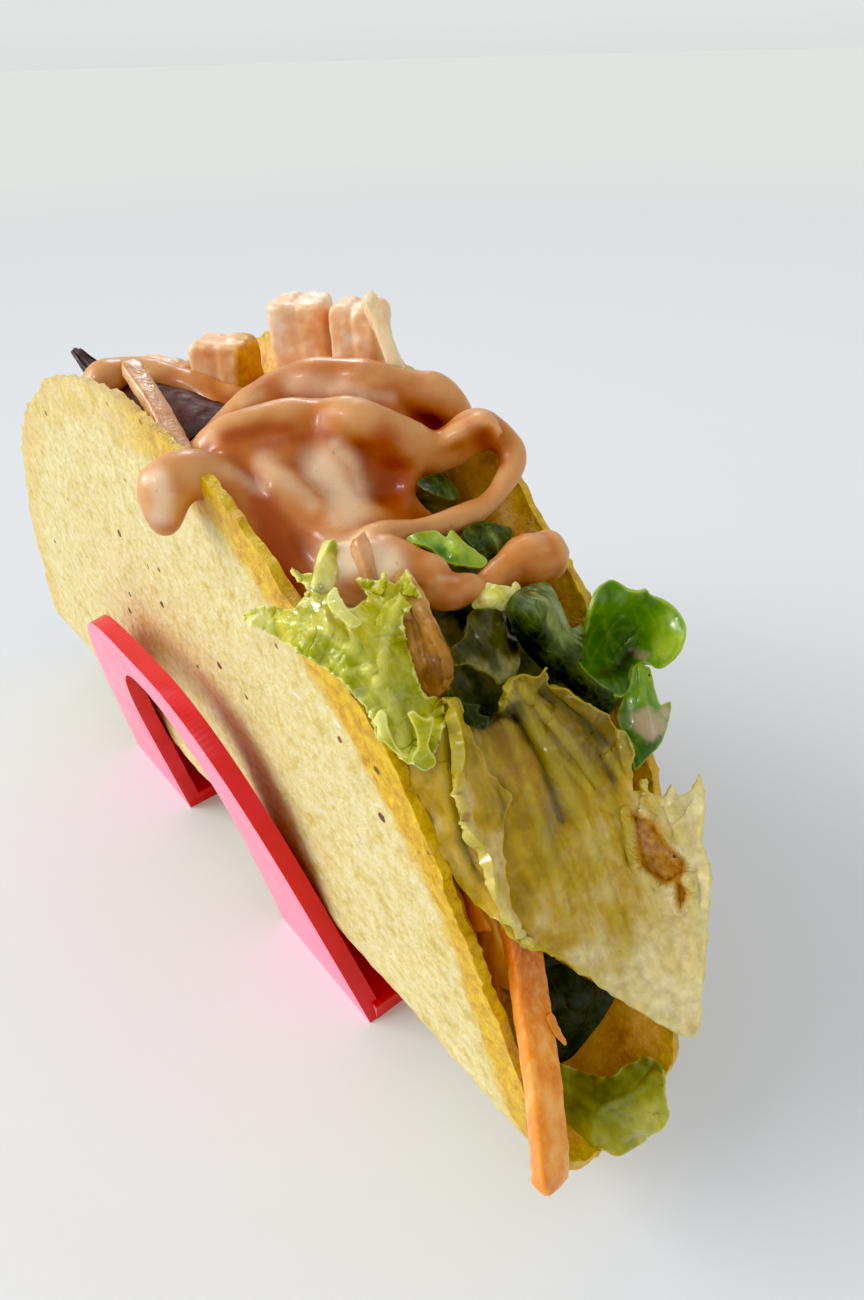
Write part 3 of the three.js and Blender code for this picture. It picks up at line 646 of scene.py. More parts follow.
def holderMaterial():
    plastic = Nodes("redPlastic", Roughness=0.38, Specular_IOR_Level=0.5, Subsurface_Weight=0.15,
                    Subsurface_Scale=0.003, Subsurface_Radius=(1.0, 0.15, 0.2))
    shade = plastic.ramp(plastic.noise(6, 2), (0.3, "D81420"), (0.7, "E81C28"))
    # painted light: the broad outer sides are pale pink instead of red
    shade = plastic.mix(plastic.attribute("paintedLitSide"), shade, "F98CAA")
    # fine parallel lines left by the printing of the panels
    wave = plastic.add("ShaderNodeTexWave", {"Vector": plastic.mapped(), "Scale": 0.55, "Distortion": 0.6,
                       "Detail": 1.0}, wave_type="BANDS", bands_direction="X")
    lines = plastic.math("MULTIPLY", wave.outputs["Fac"], 0.5)
    grain = plastic.math("ADD", lines, plastic.noise(0.5, 3))
    rough = plastic.ramp(plastic.noise(4, 3), (0.35, 0.32), (0.7, 0.46))
    return plastic.finish(shade, rough, plastic.bump(grain, 0.06, 0.5))


finishPiece(makeHolder(), "holder_stand", "holder_plastic", holderMaterial(), "taco_holder", sharp=40)


# the sauce

sauce = {
    "ridge": 4.3,                      # thickness of the squeezed lines
    "ribbon": 3.9,                     # and of the front ribbon
    "pool": 2.6,                       # thickness of the bed under them
    "farEnd": -14.5,
    "nearEnd": 30.6,
    "width": 34,
    "cells": (116, 80),                # of the bed, along and across
    "corner": (8.4, -1.6),             # the bed is missing this far to the left, where the filling shows
    "stiffness": 8,                    # of the bed between its low places
    "voxel": 0.34,
    "blend": 22,
    "ribbonVoxel": 0.26,
    "ribbonBlend": 14,
    "lumps": [(6, 0.5), (1.6, 0.12)],  # size and height
    "ribbonLumps": [(3, 0.5)],
    "crestReach": 60,                  # rounds of smoothing that the crests are measured against
    "standOut": 0.75,                  # how far a bedded ridge stands out of the bed
    # how much of each ridge the bed follows
    "bedded": {"farLoop": 1, "arch": 0.62, "loop": 0.62, "overRim": 1},
    # where along a line it is thicker or thinner, and by how much
    "swells": {
        "overRim": [(0.85, 0.3), (0.72, 0.1)],
        "farLoop": [(0.25, 0.12)],
        "arch": [(0.35, 0.1), (0.66, -0.1)],
        "loop": [(0.56, -0.1), (0.64, -0.2), (0.72, -0.25), (0.8, -0.25), (0.88, -0.3), (0.96, -0.3)],
    },
    # low places of the bed, in millimetres
    "hollows": [(15.6, 3.4, 69.4), (18.6, 5.9, 69.2), (21.2, 8.6, 67.2), (22.2, 10.8, 66.2),
                (12.8, -0.9, 68.6), (12.2, -4.8, 67.2), (0, 2.4, 65.6), (5, 1, 66.6), (7, 4.4, 67.4),
                (-6, 4.6, 65.2), (3, 9, 66.6), (10, 11, 67.6), (17, 13, 67.4), (-12, 4, 63.8),
                (-12, 9, 63.6), (23.4, 13.6, 64.4), (16, 15, 66.6), (19, 16.6, 65.4), (19, 13.4, 68.6),
                (17, 11, 69.6), (20.6, 14.6, 67), (22.6, 16.4, 63.6), (25, 16, 63.4), (28, 17, 63)],
    # the same, as a pixel and a height
    "seen": [(235, 431, 67.5), (262, 431, 67.2), (290, 428, 67.6), (235, 450, 67.6), (262, 444, 67.7),
             (290, 437, 68.1), (322, 432, 68.5), (345, 436, 68.1), (335, 475, 64.9), (302, 470, 65.5),
             (362, 470, 64.7), (345, 500, 63.4), (300, 505, 64), (270, 480, 66), (248, 463, 66.8),
             (320, 450, 66.8), (372, 440, 67.2), (390, 452, 65.2), (392, 478, 63.2), (375, 505, 62.8),
             (405, 498, 62.2), (411, 450, 65), (425, 468, 62.2), (440, 455, 62), (435, 488, 60.2),
             (430, 514, 60.6), (400, 520, 61.4), (370, 525, 62.2), (340, 530, 62.6)],
    # painted shade in the folds and hollows, and painted highlights where the sauce catches the light: a
    # line of pixels, its reach and strength
    "paintedShades": [([(228, 437), (262, 428), (290, 430)], 10, 0.8),
               ([(262, 446), (292, 438), (322, 434), (340, 444)], 9, 0.7),
               ([(385, 440), (392, 470), (400, 495)], 22, 0.85),
               ([(262, 505), (276, 540), (292, 580)], 17, 0.95),
               ([(258, 384), (299, 370), (342, 366), (385, 371), (418, 386)], 15, 0.42),
               ([(390, 384), (415, 392), (440, 402)], 10, 0.35), ([(396, 532), (424, 527)], 8, 0.35),
               ([(150, 520), (175, 530), (200, 500)], 10, 0.5),
               ([(470, 425), (490, 440), (500, 460)], 10, 0.6),
               ([(420, 606), (446, 606), (470, 600)], 9, 0.5),
               ([(130, 385), (170, 380), (200, 392)], 9, 0.5)],
    "pales": [([(322, 466), (338, 484), (350, 508)], 27, 0.84),
              ([(292, 384), (340, 386), (362, 392)], 15, 0.6),
              ([(158, 478), (163, 498), (160, 514)], 15, 0.85),
              ([(336, 562), (362, 552), (384, 566)], 24, 1.2),
              ([(336, 446), (352, 466), (358, 488)], 13, 0.7),
              ([(228, 470), (246, 482), (262, 489)], 11, 0.5), ([(258, 448), (284, 442)], 12, 0.2),
              ([(370, 393), (390, 397)], 9, 0.5), ([(242, 402), (259, 396)], 9, 0.45),
              ([(330, 600), (352, 612)], 12, 0.6), ([(264, 462), (288, 482), (312, 502)], 16, 0.6),
              ([(440, 578), (456, 580)], 6, 0.5)],
    # the hole in the bed inside the loop, in pixels
    "opening": [(430, 458), (450, 446), (470, 432), (492, 426), (506, 440), (500, 470), (488, 500),
                (462, 514), (432, 508), (416, 490)],
    "clear": 2.9,                      # from the tortilla's outside to the sauce
    "ridges": {
        "farLoop": [(-11.8, -8.8, 65.4), (-11.8, -8, 67.2), (-11.6, -5, 67.6), (-8.4, -2, 67),
                    (-4.6, 1.2, 65.4), (-1, 3.2, 64.8)],
        "arch": [(9, -8, 63.6), (10.6, -3.4, 67.4), (10.6, 2, 69.6), (13.6, 6, 70.4), (17.2, 8.9, 70.2),
                 (19.2, 11.6, 69.3), (20.6, 13.6, 68.8), (21.4, 15, 67.2), (21.4, 15.8, 65.6)],
        "loop": [(12.6, -9, 65.6), (14.6, -5, 68), (17.4, 1, 68.6), (21.8, 4, 68.7), (23.6, 7, 66.6),
                 (24.2, 9.6, 64.8), (25, 12, 65.2), (26.2, 14, 66.7), (27.8, 15.2, 66.3),
                 (29.7, 15.6, 64.7), (30.7, 13.6, 62.8), (31, 10.2, 61.3), (31, 6, 61.1), (30.8, 2, 61.5),
                 (30.4, -2, 62)],
        "overRim": [(27, -7.6, 57.6), (24.2, -8, 59.6), (21.4, -7.9, 61.8), (18.8, -8.4, 63.9),
                    (17.2, -10, 65.9), (16.6, -12.3, 66.6), (16.2, -14, 65.6), (16.6, -14.8, 63)],
        "farZigzag": [(-3, 4, 64.6), (-12, 9.4, 64.2), (-17, 6, 63.8), (-17, -3, 63.6), (-22, -6.8, 62.8),
                      (-27, -3, 62), (-27.5, 7, 61.8), (-32, 9, 60), (-36.5, 4, 57.8), (-36, -3, 57.6)],
    },
    # the coat over the chunk at the front: pixel, distance, and half sizes along the view's
    # right, up and depth
    "domes": [(366, 574, 71.4, 4.5, 3.1, 2.6), (416, 573, 72.2, 3.0, 2.0, 2.0)],
    # pixel and distance along the front ribbon, and its thickness there
    "front": [(372, 556, 72.4, 3.4), (398, 558, 71.8, 3.8), (426, 578, 72.2, 3.6), (448, 594, 72.6, 3.0),
              (462, 588, 73.2, 3.2), (480, 588, 74.4, 2.5), (503, 573, 76.2, 2.9), (528, 560, 78, 5.6),
              (556, 555, 79.6, 5.8)],
}


def squeezedLine(name, points, width, uneven=0.07, swell=()):
    # a round line of sauce whose width changes a little along it
    places = [Vector(p) for p in points]
    steps = 10 * (len(places) - 1)
    line = bpy.data.curves.new(name, "CURVE")
    line.dimensions = "3D"
    line.bevel_depth = width / 2
    line.bevel_resolution = 4
    line.use_fill_caps = True
    spline = line.splines.new("POLY")
    spline.points.add(steps)
    for k, point in enumerate(spline.points):
        share = k / steps
        place = curvePoint(places, share)
        ends = min(share, 1 - share) * steps / 4
        radius = math.sqrt(1 - (1 - clamp(0.25 + ends)) ** 2)
        radius *= 1 + uneven * math.sin(place.x * 0.9 + place.y * 0.7) + sum(
            grow * math.exp(-((share - at) / 0.07) ** 2) for at, grow in swell)
        point.co = (*place, 1)
        point.radius = radius
    piece = bpy.data.objects.new(name, line)
    bpy.context.collection.objects.link(piece)
    activate(piece)
    bpy.ops.object.convert(target="MESH")
    balls = []
    for share in (0, 1):
        bpy.ops.mesh.primitive_uv_sphere_add(radius=width * 0.36, segments=16, ring_count=10,
                                             location=curvePoint(places, share))
        balls.append(bpy.context.object)
    activate(piece, *balls)
    applyPlace()
    return joinInto(piece, *balls)


def wallY(z, side, inset):
    # a little further along the wall than z is high, because the wall leans and turns
    t = max(z - tortilla["bottom"] + 3, 0)
    return wallPlace(side * t, inset)[0]


def makeBed():
    # a thick wavy sheet through the ridges and the hollows between them
    drop = sauce["ridge"] / 2 - sauce["standOut"]
    controls = [Vector(p) for p in sauce["hollows"]] + [viewHeight(*p) for p in sauce["seen"]]
    for name, share in sauce["bedded"].items():
        points = [Vector(p) for p in sauce["ridges"][name]]
        count = 3 * len(points)
        controls += [curvePoint(points, share * k / count) + Vector((0, 0, drop)) for k in range(count + 1)]
    stiffness = sauce["stiffness"]
    height = smoothField([(p.x * stiffness, p.y * stiffness, p.z) for p in controls])
    columns, rows = sauce["cells"]
    bpy.ops.mesh.primitive_grid_add(x_subdivisions=columns, y_subdivisions=rows, size=1)
    bed = bpy.context.object
    bed.name = "sauceBed"
    spots = [((sauce["farEnd"] + (sauce["nearEnd"] - sauce["farEnd"]) * (v.co.x + 0.5)),
              sauce["width"] * v.co.y) for v in bed.data.vertices]
    heights = height(np.array(spots) * stiffness)
    pixels = np.array([viewPixel(Vector((*spot, z))) for spot, z in zip(spots, heights)])
    opened = insideOutline(pixels, np.array(sauce["opening"], float))
    activate(bed)
    bpy.ops.object.mode_set(mode="EDIT")
    bpy.ops.mesh.select_all(action="DESELECT")
    bpy.ops.mesh.select_mode(type="VERT")
    bpy.ops.object.mode_set(mode="OBJECT")
    cornerX, cornerY = sauce["corner"]
    for vertex, (x, y), z, hole in zip(bed.data.vertices, spots, heights, opened):
        wave = 0.5 * noise.noise(Vector((x * 0.16, y * 0.16, 2)))
        left, right = wallY(z, -1, sauce["clear"]), wallY(z, 1, sauce["clear"])
        vertex.co = (x, y, z)
        outside = y < left or y > right
        outside = outside or (x < cornerX + wave and y < cornerY + wave * 2)
        vertex.select = outside or bool(hole)
    bpy.ops.object.mode_set(mode="EDIT")
    bpy.ops.mesh.delete(type="VERT")
    bpy.ops.object.mode_set(mode="OBJECT")
    modify(bed, "SOLIDIFY", thickness=sauce["pool"], offset=-1)
    return bed


def giveCrests(piece):
    # how far each point stands out of a much smoother copy of the piece
    rough = np.array([v.co[:] for v in piece.data.vertices])
    normals = np.array([v.normal[:] for v in piece.data.vertices])
    copy = piece.copy()
    copy.data = piece.data.copy()
    bpy.context.collection.objects.link(copy)
    modify(copy, "SMOOTH", factor=0.9, iterations=sauce["crestReach"])
    smooth = np.array([v.co[:] for v in copy.data.vertices])
    bpy.data.objects.remove(copy)
    giveAttribute(piece, "crest", ((rough - smooth) * normals).sum(1))


def givePaintedLight(piece):
    # marks, by the pixel lines listed in the sauce, where painted shade and painted highlights go
    pixels = np.array([viewPixel(v.co) for v in piece.data.vertices])
    for name in ("paintedShades", "pales"):
        share = np.zeros(len(pixels))
        for line, reach, strength in sauce[name]:
            gap, _ = lineGap(pixels, line)
            share = np.maximum(share, strength * np.exp(-(gap / reach) ** 2))
        giveAttribute(piece, name, share)


def makeSwirl():
    lines = [squeezedLine(name, points, sauce["ridge"], swell=sauce["swells"].get(name, ()))
             for name, points in sauce["ridges"].items()]
    swirl = joinInto(makeBed(), *lines)
    modify(swirl, "REMESH", mode="VOXEL", voxel_size=sauce["voxel"])
    modify(swirl, "SMOOTH", factor=0.6, iterations=sauce["blend"])
    for size, height in sauce["lumps"]:
        lumps(swirl, size, height)
    modify(swirl, "SMOOTH", factor=0.5, iterations=3)
    giveCrests(swirl)
    givePaintedLight(swirl)
    return swirl


def sauceMaterial():
    cream = Nodes("pinkSauce", Roughness=0.4, Specular_IOR_Level=0.26, Subsurface_Weight=0.25,
                  Subsurface_Scale=0.001, Subsurface_Radius=(1.0, 0.5, 0.2), Coat_Weight=0.12,
                  Coat_Roughness=0.14)
    # painted shade and light: the sauce is darker in its hollows and paler on its crests
    crest = cream.math("MULTIPLY_ADD", cream.attribute("crest"), 1.6, 0.5)
    crest = cream.math("ADD", crest, cream.math("MULTIPLY_ADD", cream.noise(5, 3), 0.5, -0.25))
    shade = cream.ramp(crest, (0.05, "9C4408"), (0.4, "BE681E"), (0.68, "D0843E"), (0.98, "DEA164"))
    # painted shade in the marked folds and hollows, and painted highlights on the marked places, broken up
    # by a cloud
    cloud = cream.math("MULTIPLY_ADD", cream.noise(3.2, 4, 0.6), 0.5, -0.25)
    dark = cream.between(cream.math("ADD", cream.attribute("paintedShades"), cloud), 0.0, 1.0)
    shade = cream.mix(dark, shade, "AE4C0E")
    pale = cream.between(cream.math("ADD", cream.attribute("pales"), cloud), 0.1, 1.1)
    shade = cream.mix(pale, shade, "FEDCB4")
    flecks = cream.between(cream.noise(0.5, 2, 0.5), 0.66, 0.74)
    shade = cream.mix(cream.math("MULTIPLY", flecks, 0.25), shade, "B45C20")
    rough = cream.ramp(cream.noise(3, 2), (0.35, 0.34), (0.7, 0.48))
    height = cream.math("ADD", cream.noise(1.1, 3), cream.noise(0.3, 2))
    return cream.finish(shade, rough, cream.bump(height, 0.05, 0.4))


pinkSauce = sauceMaterial()
finishPiece(makeSwirl(), "sauce_lines", "sauce", pinkSauce, "sauce_swirl")


def makeRibbon():
    points = [viewPoint(*row[:3]) for row in sauce["front"]]
    count = len(points) - 1
    swell = [(k / count, 0.8 * (row[3] / sauce["ribbon"] - 1)) for k, row in enumerate(sauce["front"])]
    ribbon = squeezedLine("frontRibbon", points, sauce["ribbon"], swell=swell)
    domes = []
    for px, py, depth, *size in sauce["domes"]:
        bpy.ops.mesh.primitive_uv_sphere_add(segments=40, ring_count=24, radius=1,
                                             location=viewPoint(px, py, depth), rotation=eyeTurn.to_euler())
        dome = bpy.context.object
        dome.scale = size
        applyPlace()
        domes.append(dome)
    ribbon = joinInto(ribbon, *domes)
    modify(ribbon, "REMESH", mode="VOXEL", voxel_size=sauce["ribbonVoxel"])
    modify(ribbon, "SMOOTH", factor=0.6, iterations=sauce["ribbonBlend"])
    for size, height in sauce["ribbonLumps"]:
        lumps(ribbon, size, height)
    giveCrests(ribbon)
    givePaintedLight(ribbon)
    return ribbon


finishPiece(makeRibbon(), "sauce_front_ribbon", "sauce", pinkSauce, "sauce_ribbon")


# sheets cut along an outline

def blurField(controls, points, power=3.0):
    places = np.array([(c[0], c[1]) for c in controls], float)
    values = np.array([c[2] for c in controls], float)
    gap = np.linalg.norm(np.asarray(points, float)[:, None] - places[None], axis=2) + 1e-3
    weight = gap ** -power
    return (weight * values).sum(1) / weight.sum(1)


def fineOutline(corners, step, ragged, seed):
    # a closed smooth line through the corners, with a slightly torn edge
    closed = [Vector((*c, 0)) for c in corners]
    count = len(closed)
    fine = []
    for k in range(count):
        four = [closed[(k + j) % count] for j in (-1, 0, 1, 2)]
        parts = max(2, round((four[2] - four[1]).length / step))
        for j in range(parts):
            fine.append(curvePoint(four, (1 + j / parts) / 3))
    line = np.array([(p.x, p.y) for p in fine])
    if ragged:
        size, wave = ragged
        normal = np.roll(line, -1, axis=0) - np.roll(line, 1, axis=0)
        normal = np.column_stack([normal[:, 1], -normal[:, 0]])
        normal /= np.linalg.norm(normal, axis=1)[:, None] + 1e-9
        push = [noise.noise(Vector((x / wave, y / wave, seed)))
                + 0.5 * noise.noise(Vector((y * 2.3 / wave, x * 2.3 / wave, seed))) for x, y in line]
        line = line + normal * np.array(push)[:, None] * size
    return line


sheetUsual = {
    "step": 2.2,                       # between the points, in pixels
    "thickness": 0.6,
    "edgeThin": 0.45,                  # thickness left at the edge, as a share
    "edgeReach": 9,                    # of the edge's own colour, in pixels
    "crinkle": (0.25, 2.5),            # height and size
    "sideRibs": 6,
    "ribHeight": 0.25,
}


def cutSheet(sheet, seed):
    # triangles inside a torn outline, bent in depth, with ribs, folds that are pressed back and marked for
    # painted shade, and a thickness
    sheet = {**sheetUsual, **sheet}
    step = sheet["step"]
    rowStep, edgeClear = step * 0.87, step * 0.55
    outline = fineOutline(sheet["outline"], step, sheet.get("ragged"), seed)
    low, high = outline.min(0), outline.max(0)
    rows, columns = np.arange(low[1], high[1], rowStep), np.arange(low[0], high[0], step)
    spots = np.concatenate([np.column_stack([columns + (k % 2) * step / 2, np.full(len(columns), y)])
                            for k, y in enumerate(rows)])
    spots = spots[insideOutline(spots, outline)]
    closedLine = np.vstack([outline, outline[:1]])
    gap, _ = lineGap(spots, closedLine)
    spots = spots[gap > edgeClear]
    flat = np.vstack([outline, spots])
    edges = [(k, (k + 1) % len(outline)) for k in range(len(outline))]
    points, _, faces, *_ = delaunay_2d_cdt([Vector(p) for p in flat], edges, [], 1, 1e-4)
    points = np.array([tuple(p) for p in points])
    depth = smoothField(sheet["depth"])(points)
    gap, along = lineGap(points, closedLine)
    for height, wave, reach in sheet.get("ruffle", ()):
        phase = 2 * math.pi * along / wave + 1.3 * seed + 0.8 * np.sin(along / wave * 2.1)
        depth += height * np.exp(-gap / reach) * np.sin(phase)
    # folds are pressed back a little, and their share is kept for the painted shade that darkens them
    fold = np.zeros(len(points))
    for line, reach, strength in sheet.get("folds", ()):
        far, _ = lineGap(points, np.array(line, float))
        fold = np.maximum(fold, strength * np.exp(-(far / reach) ** 2))
    depth += 0.5 * fold
    patch = np.zeros(len(points))
    for corners, push in sheet.get("patches", ()):
        line = fineOutline(corners, 3, None, 0)
        far, _ = lineGap(points, np.vstack([line, line[:1]]))
        inside = insideOutline(points, line)
        patch = np.maximum(patch, np.where(inside, np.clip(0.5 + far / 3, 0, 1), 0))
        depth += push * np.where(inside, np.clip(far / 5, 0, 1), 0) - 0.3 * np.exp(-(far / 3) ** 2)
    rib = np.zeros(len(points))
    for line, width, height in sheet.get("ribs", ()):
        far, run = lineGap(points, np.array(line, float))
        strength = np.exp(-(far / width) ** 2) * np.exp(-(run / (run.max() + 1e-6)) * 0.8)
        depth -= height * strength
        rib = np.maximum(rib, strength * min(1, abs(height) * 3))
    places = [viewPoint(x, y, d) for (x, y), d in zip(points, depth)]
    rough, size = sheet["crinkle"]
    forward = eyeTurn @ Vector((0, 0, 1))
    places = [p + forward * rough * (noise.noise(p / size) + 0.5 * noise.noise(p * 2.3 / size))
              for p in places]
    piece = newPiece("sheet", places, [tuple(f) for f in faces])
    pixels = np.array([viewPixel(p) for p in places])
    shares = {"edge": np.exp(-gap / sheet["edgeReach"]), "rib": rib, "fold": fold, "patch": patch,
              "tone": blurField(sheet["tones"], pixels)}
    for kind in ("stain", "bruise"):
        shares[kind] = np.zeros(len(points))
        for x, y, reach, strength in sheet.get(kind + "s", ()):
            away = np.linalg.norm(pixels - (x, y), axis=1) / reach
            shares[kind] = np.maximum(shares[kind], strength * np.exp(-away ** 2))
    for kind, values in shares.items():
        giveAttribute(piece, kind, values)
    thin = sheet["edgeThin"]
    full = np.clip(thin + (1 - thin) * (1 - np.exp(-gap / 10)) + 0.5 * rib, 0, 1)
    thicken(piece, sheet["thickness"], full)
    return piece


def thicken(piece, thickness, shares):
    group = piece.vertex_groups.new(name="thickness")
    for index, share in enumerate(shares):
        group.add([index], float(share), "REPLACE")
    modify(piece, "SOLIDIFY", thickness=thickness, offset=0, vertex_group="thickness",
           thickness_vertex_group=0)
    piece.vertex_groups.clear()


def gridSheet(leaf, seed):
    # a wavy sheet through rows of points, from its root to its free edge
    leaf = {**sheetUsual, **leaf}
    rows, columns = leaf["cells"]
    bpy.ops.mesh.primitive_grid_add(x_subdivisions=columns, y_subdivisions=rows, size=1)
    piece = bpy.context.object
    grid = [[Vector(p) for p in row] for row in leaf["grid"]]
    lines = [[curvePoint(row, j / columns) for row in grid] for j in range(columns + 1)]
    base = np.array([[curvePoint(lines[j], i / rows) for j in range(columns + 1)] for i in range(rows + 1)])
    along, across = np.gradient(base, axis=0), np.gradient(base, axis=1)
    along /= np.linalg.norm(along, axis=2)[..., None] + 1e-9
    across /= np.linalg.norm(across, axis=2)[..., None] + 1e-9
    out = np.cross(along, across)
    u, v = np.meshgrid(np.linspace(0, 1, rows + 1), np.linspace(0, 1, columns + 1), indexing="ij")
    side = np.abs(2 * v - 1)
    free = np.maximum(u ** 3, 0.8 * side ** 5)
    toothSize, teeth = leaf["teeth"]
    jag = np.abs(((v * teeth + 0.3 * np.sin(9 * v + seed)) % 1) - 0.5) * 2
    jagSide = np.abs(((u * teeth + 0.4 * np.sin(7 * u + seed)) % 1) - 0.5) * 2
    spread = base + along * (toothSize * (jag - 0.5) * u ** 6)[..., None]
    spread += across * (np.sign(v - 0.5) * toothSize * (jagSide - 0.5) * side ** 8)[..., None]
    lift = np.zeros_like(u)
    for height, waves, power in leaf["ruffle"]:
        swing = np.sin(2 * math.pi * waves * v + seed + 2 * u)
        lift += height * np.maximum(u ** power, 0.6 * side ** (power + 2)) * swing
    middle = np.exp(-((v - 0.5) / 0.06) ** 2)
    ribs = np.abs((((u - 0.9 * np.abs(v - 0.5)) * leaf["sideRibs"]) % 1) - 0.5)
    rib = np.maximum(middle, 0.6 * np.exp(-(ribs / 0.09) ** 2)) * (1 - 0.6 * u)
    lift += leaf["ribHeight"] * rib
    places = spread + out * lift[..., None]
    flat = [Vector(p) for p in places.reshape(-1, 3)]
    rough, size = leaf["crinkle"]
    outs = out.reshape(-1, 3)
    flat = [p + Vector(o) * rough * noise.noise(p / size) for p, o in zip(flat, outs)]
    order = [round((w.co.y + 0.5) * rows) * (columns + 1) + round((w.co.x + 0.5) * columns)
             for w in piece.data.vertices]
    for vertex, k in zip(piece.data.vertices, order):
        vertex.co = flat[k]
    giveAttribute(piece, "edge", free.reshape(-1)[order])
    giveAttribute(piece, "rib", rib.reshape(-1)[order])
    low, high = leaf["tone"]
    giveAttribute(piece, "tone", (low + (high - low) * free.reshape(-1))[order])
    giveAttribute(piece, "stain", np.zeros(len(order)))
    full = (1 - 0.5 * free + 0.3 * rib).clip(0, 1)
    thicken(piece, leaf["thickness"], full.reshape(-1)[order])
    return piece


def leafMaterial(name, colours, stainColour="A87838", shine=0.34, glow=0.35, netSize=1.4, netHeight=0.1,
                 wet=0.5, streaks=0.4, brimColour=None):
    pale, middle, deep, ribColour = colours
    leaf = Nodes(name, Roughness=shine, Specular_IOR_Level=0.24, Subsurface_Weight=glow,
                 Subsurface_Scale=0.001, Subsurface_Radius=(0.9, 1.0, 0.2), Coat_Roughness=0.12)
    streak = leaf.noise(1, 4, 0.6, vector=leaf.streaked((0, -0.73, 0), (1.1, 1.1, 8)))
    tone = leaf.math("ADD", leaf.attribute("tone"),
                     leaf.math("MULTIPLY_ADD", leaf.noise(4, 4, 0.6), 0.8, -0.4))
    tone = leaf.math("ADD", tone, leaf.math("MULTIPLY_ADD", streak, 2 * streaks, -streaks))
    shade = leaf.ramp(tone, (0.05, pale), (0.5, middle), (0.95, deep))
    net = leaf.between(leaf.cells(netSize, "Distance", feature="DISTANCE_TO_EDGE"), 0.0, 0.16)
    shade = leaf.mix(leaf.math("MULTIPLY_ADD", net, -0.16, 0.16), shade, ribColour)
    mottle = leaf.between(leaf.noise(0.9, 4, 0.6), 0.35, 0.7)
    shade = leaf.mix(leaf.math("MULTIPLY", mottle, 0.25), shade, deep)
    shade = leaf.mix(leaf.math("MULTIPLY", leaf.attribute("rib"), 0.5), shade, ribColour)
    brim = leaf.math("MULTIPLY", leaf.between(leaf.attribute("edge"), 0.72, 1.0), 0.55)
    shade = leaf.mix(brim, shade, brimColour or pale)
    # smears of sauce, brown bruises, painted shade in the folds and a torn pocket, all broken up
    cloud = leaf.math("MULTIPLY_ADD", leaf.noise(1.8, 6, 0.65), 1.7, -0.85)
    smear = leaf.between(leaf.math("ADD", leaf.attribute("stain"), cloud), 0.3, 0.9)
    shade = leaf.mix(leaf.math("MULTIPLY", smear, 0.75), shade, stainColour)
    bruise = leaf.between(leaf.math("ADD", leaf.attribute("bruise"), leaf.math("MULTIPLY", cloud, 0.6)),
                          0.25, 0.8)
    shade = leaf.mix(leaf.math("MULTIPLY", bruise, 0.7), shade, "8A5A10")
    # painted shade: the marked folds are darkened to a near black olive
    paintedFoldShade = leaf.math("ADD", leaf.attribute("fold"), leaf.math("MULTIPLY_ADD", streak, 0.8, -0.4))
    shade = leaf.mix(leaf.math("MULTIPLY", leaf.between(paintedFoldShade, 0.1, 0.95), 0.9), shade, "2E2804")
    torn = leaf.ramp(leaf.noise(0.8, 4, 0.6), (0.32, "9A5E10"), (0.5, "C08428"), (0.68, "D8A648"))
    shade = leaf.mix(leaf.attribute("patch"), shade, torn)
    specks = leaf.between(leaf.cells(3.1, "Distance"), 0.075, 0.045)
    picked = leaf.between(leaf.cells(3.1, "Color"), 0.72, 0.78)
    shade = leaf.mix(leaf.math("MULTIPLY", specks, picked), shade, "3A3012")
    rough = leaf.ramp(leaf.noise(1.8, 3), (0.35, shine * 0.6), (0.7, shine * 1.4))
    film = leaf.math("MULTIPLY", leaf.between(leaf.noise(3, 4, 0.6), 0.46, 0.6), wet)
    leaf.put(leaf.shader.inputs["Coat Weight"], film)
    height = leaf.math("ADD", leaf.math("MULTIPLY", net, 0.6), leaf.noise(0.7, 4, 0.6))
    height = leaf.math("ADD", height, leaf.math("MULTIPLY", streak, 2 * streaks))
    return leaf.finish(shade, rough, leaf.bump(height, netHeight, 0.7))


largeGreen = leafMaterial("largeGreen", ("F0E0A8", "CCA424", "846806", "CABA44"), netSize=2.2,
                          netHeight=0.08, glow=0.45, streaks=0.36, wet=0.6, brimColour="CABA3E")
lobeGreen = leafMaterial("lobeGreen", ("A89C58", "4C480E", "2A2606", "5E5A20"), netSize=2.2,
                         netHeight=0.06, glow=0.1, streaks=0.4, wet=0.3, brimColour="7E7834")
lettuceGreen = leafMaterial("lettuceGreen", ("F6F09C", "D4C82C", "9CA20A", "EAE47C"), glow=0.5, wet=0.9,
                            streaks=0.55)
brightGreen = leafMaterial("brightGreen", ("B0C63C", "68961A", "3E640A", "9CBA48"), stainColour="D0AE8C",
                           shine=0.28, netSize=2.6, netHeight=0.05)
oliveGreen = leafMaterial("oliveGreen", ("D8D05C", "A8A014", "727A06", "B8B834"), shine=0.26, netSize=2.6,
                          netHeight=0.06, wet=0.8)
darkGreen = leafMaterial("darkGreen", ("98A25A", "44520E", "1A2402", "5E6E32"), shine=0.5, glow=0.0,
                         netSize=1.2, wet=0.1, streaks=0.9, brimColour="56621C")
deepGreen = leafMaterial("deepGreen", ("4A5418", "222C08", "101604", "303C10"), shine=0.5, glow=0.0,
                         netSize=2.2, wet=0.1, brimColour="2A3410")
coatedTan = leafMaterial("coatedTan", ("E4AE66", "B87C2C", "7E4C0E", "C48E3C"), shine=0.55, glow=0.3,
                         netSize=5, netHeight=0.1, streaks=0.6, wet=0.15, brimColour="A87428")
purpleSkin = leafMaterial("purpleSkin", ("5E2418", "401610", "260A08", "401A16"), shine=0.7, glow=0.0,
                          wet=0.0, netHeight=0.02, streaks=0.1, brimColour="301018")

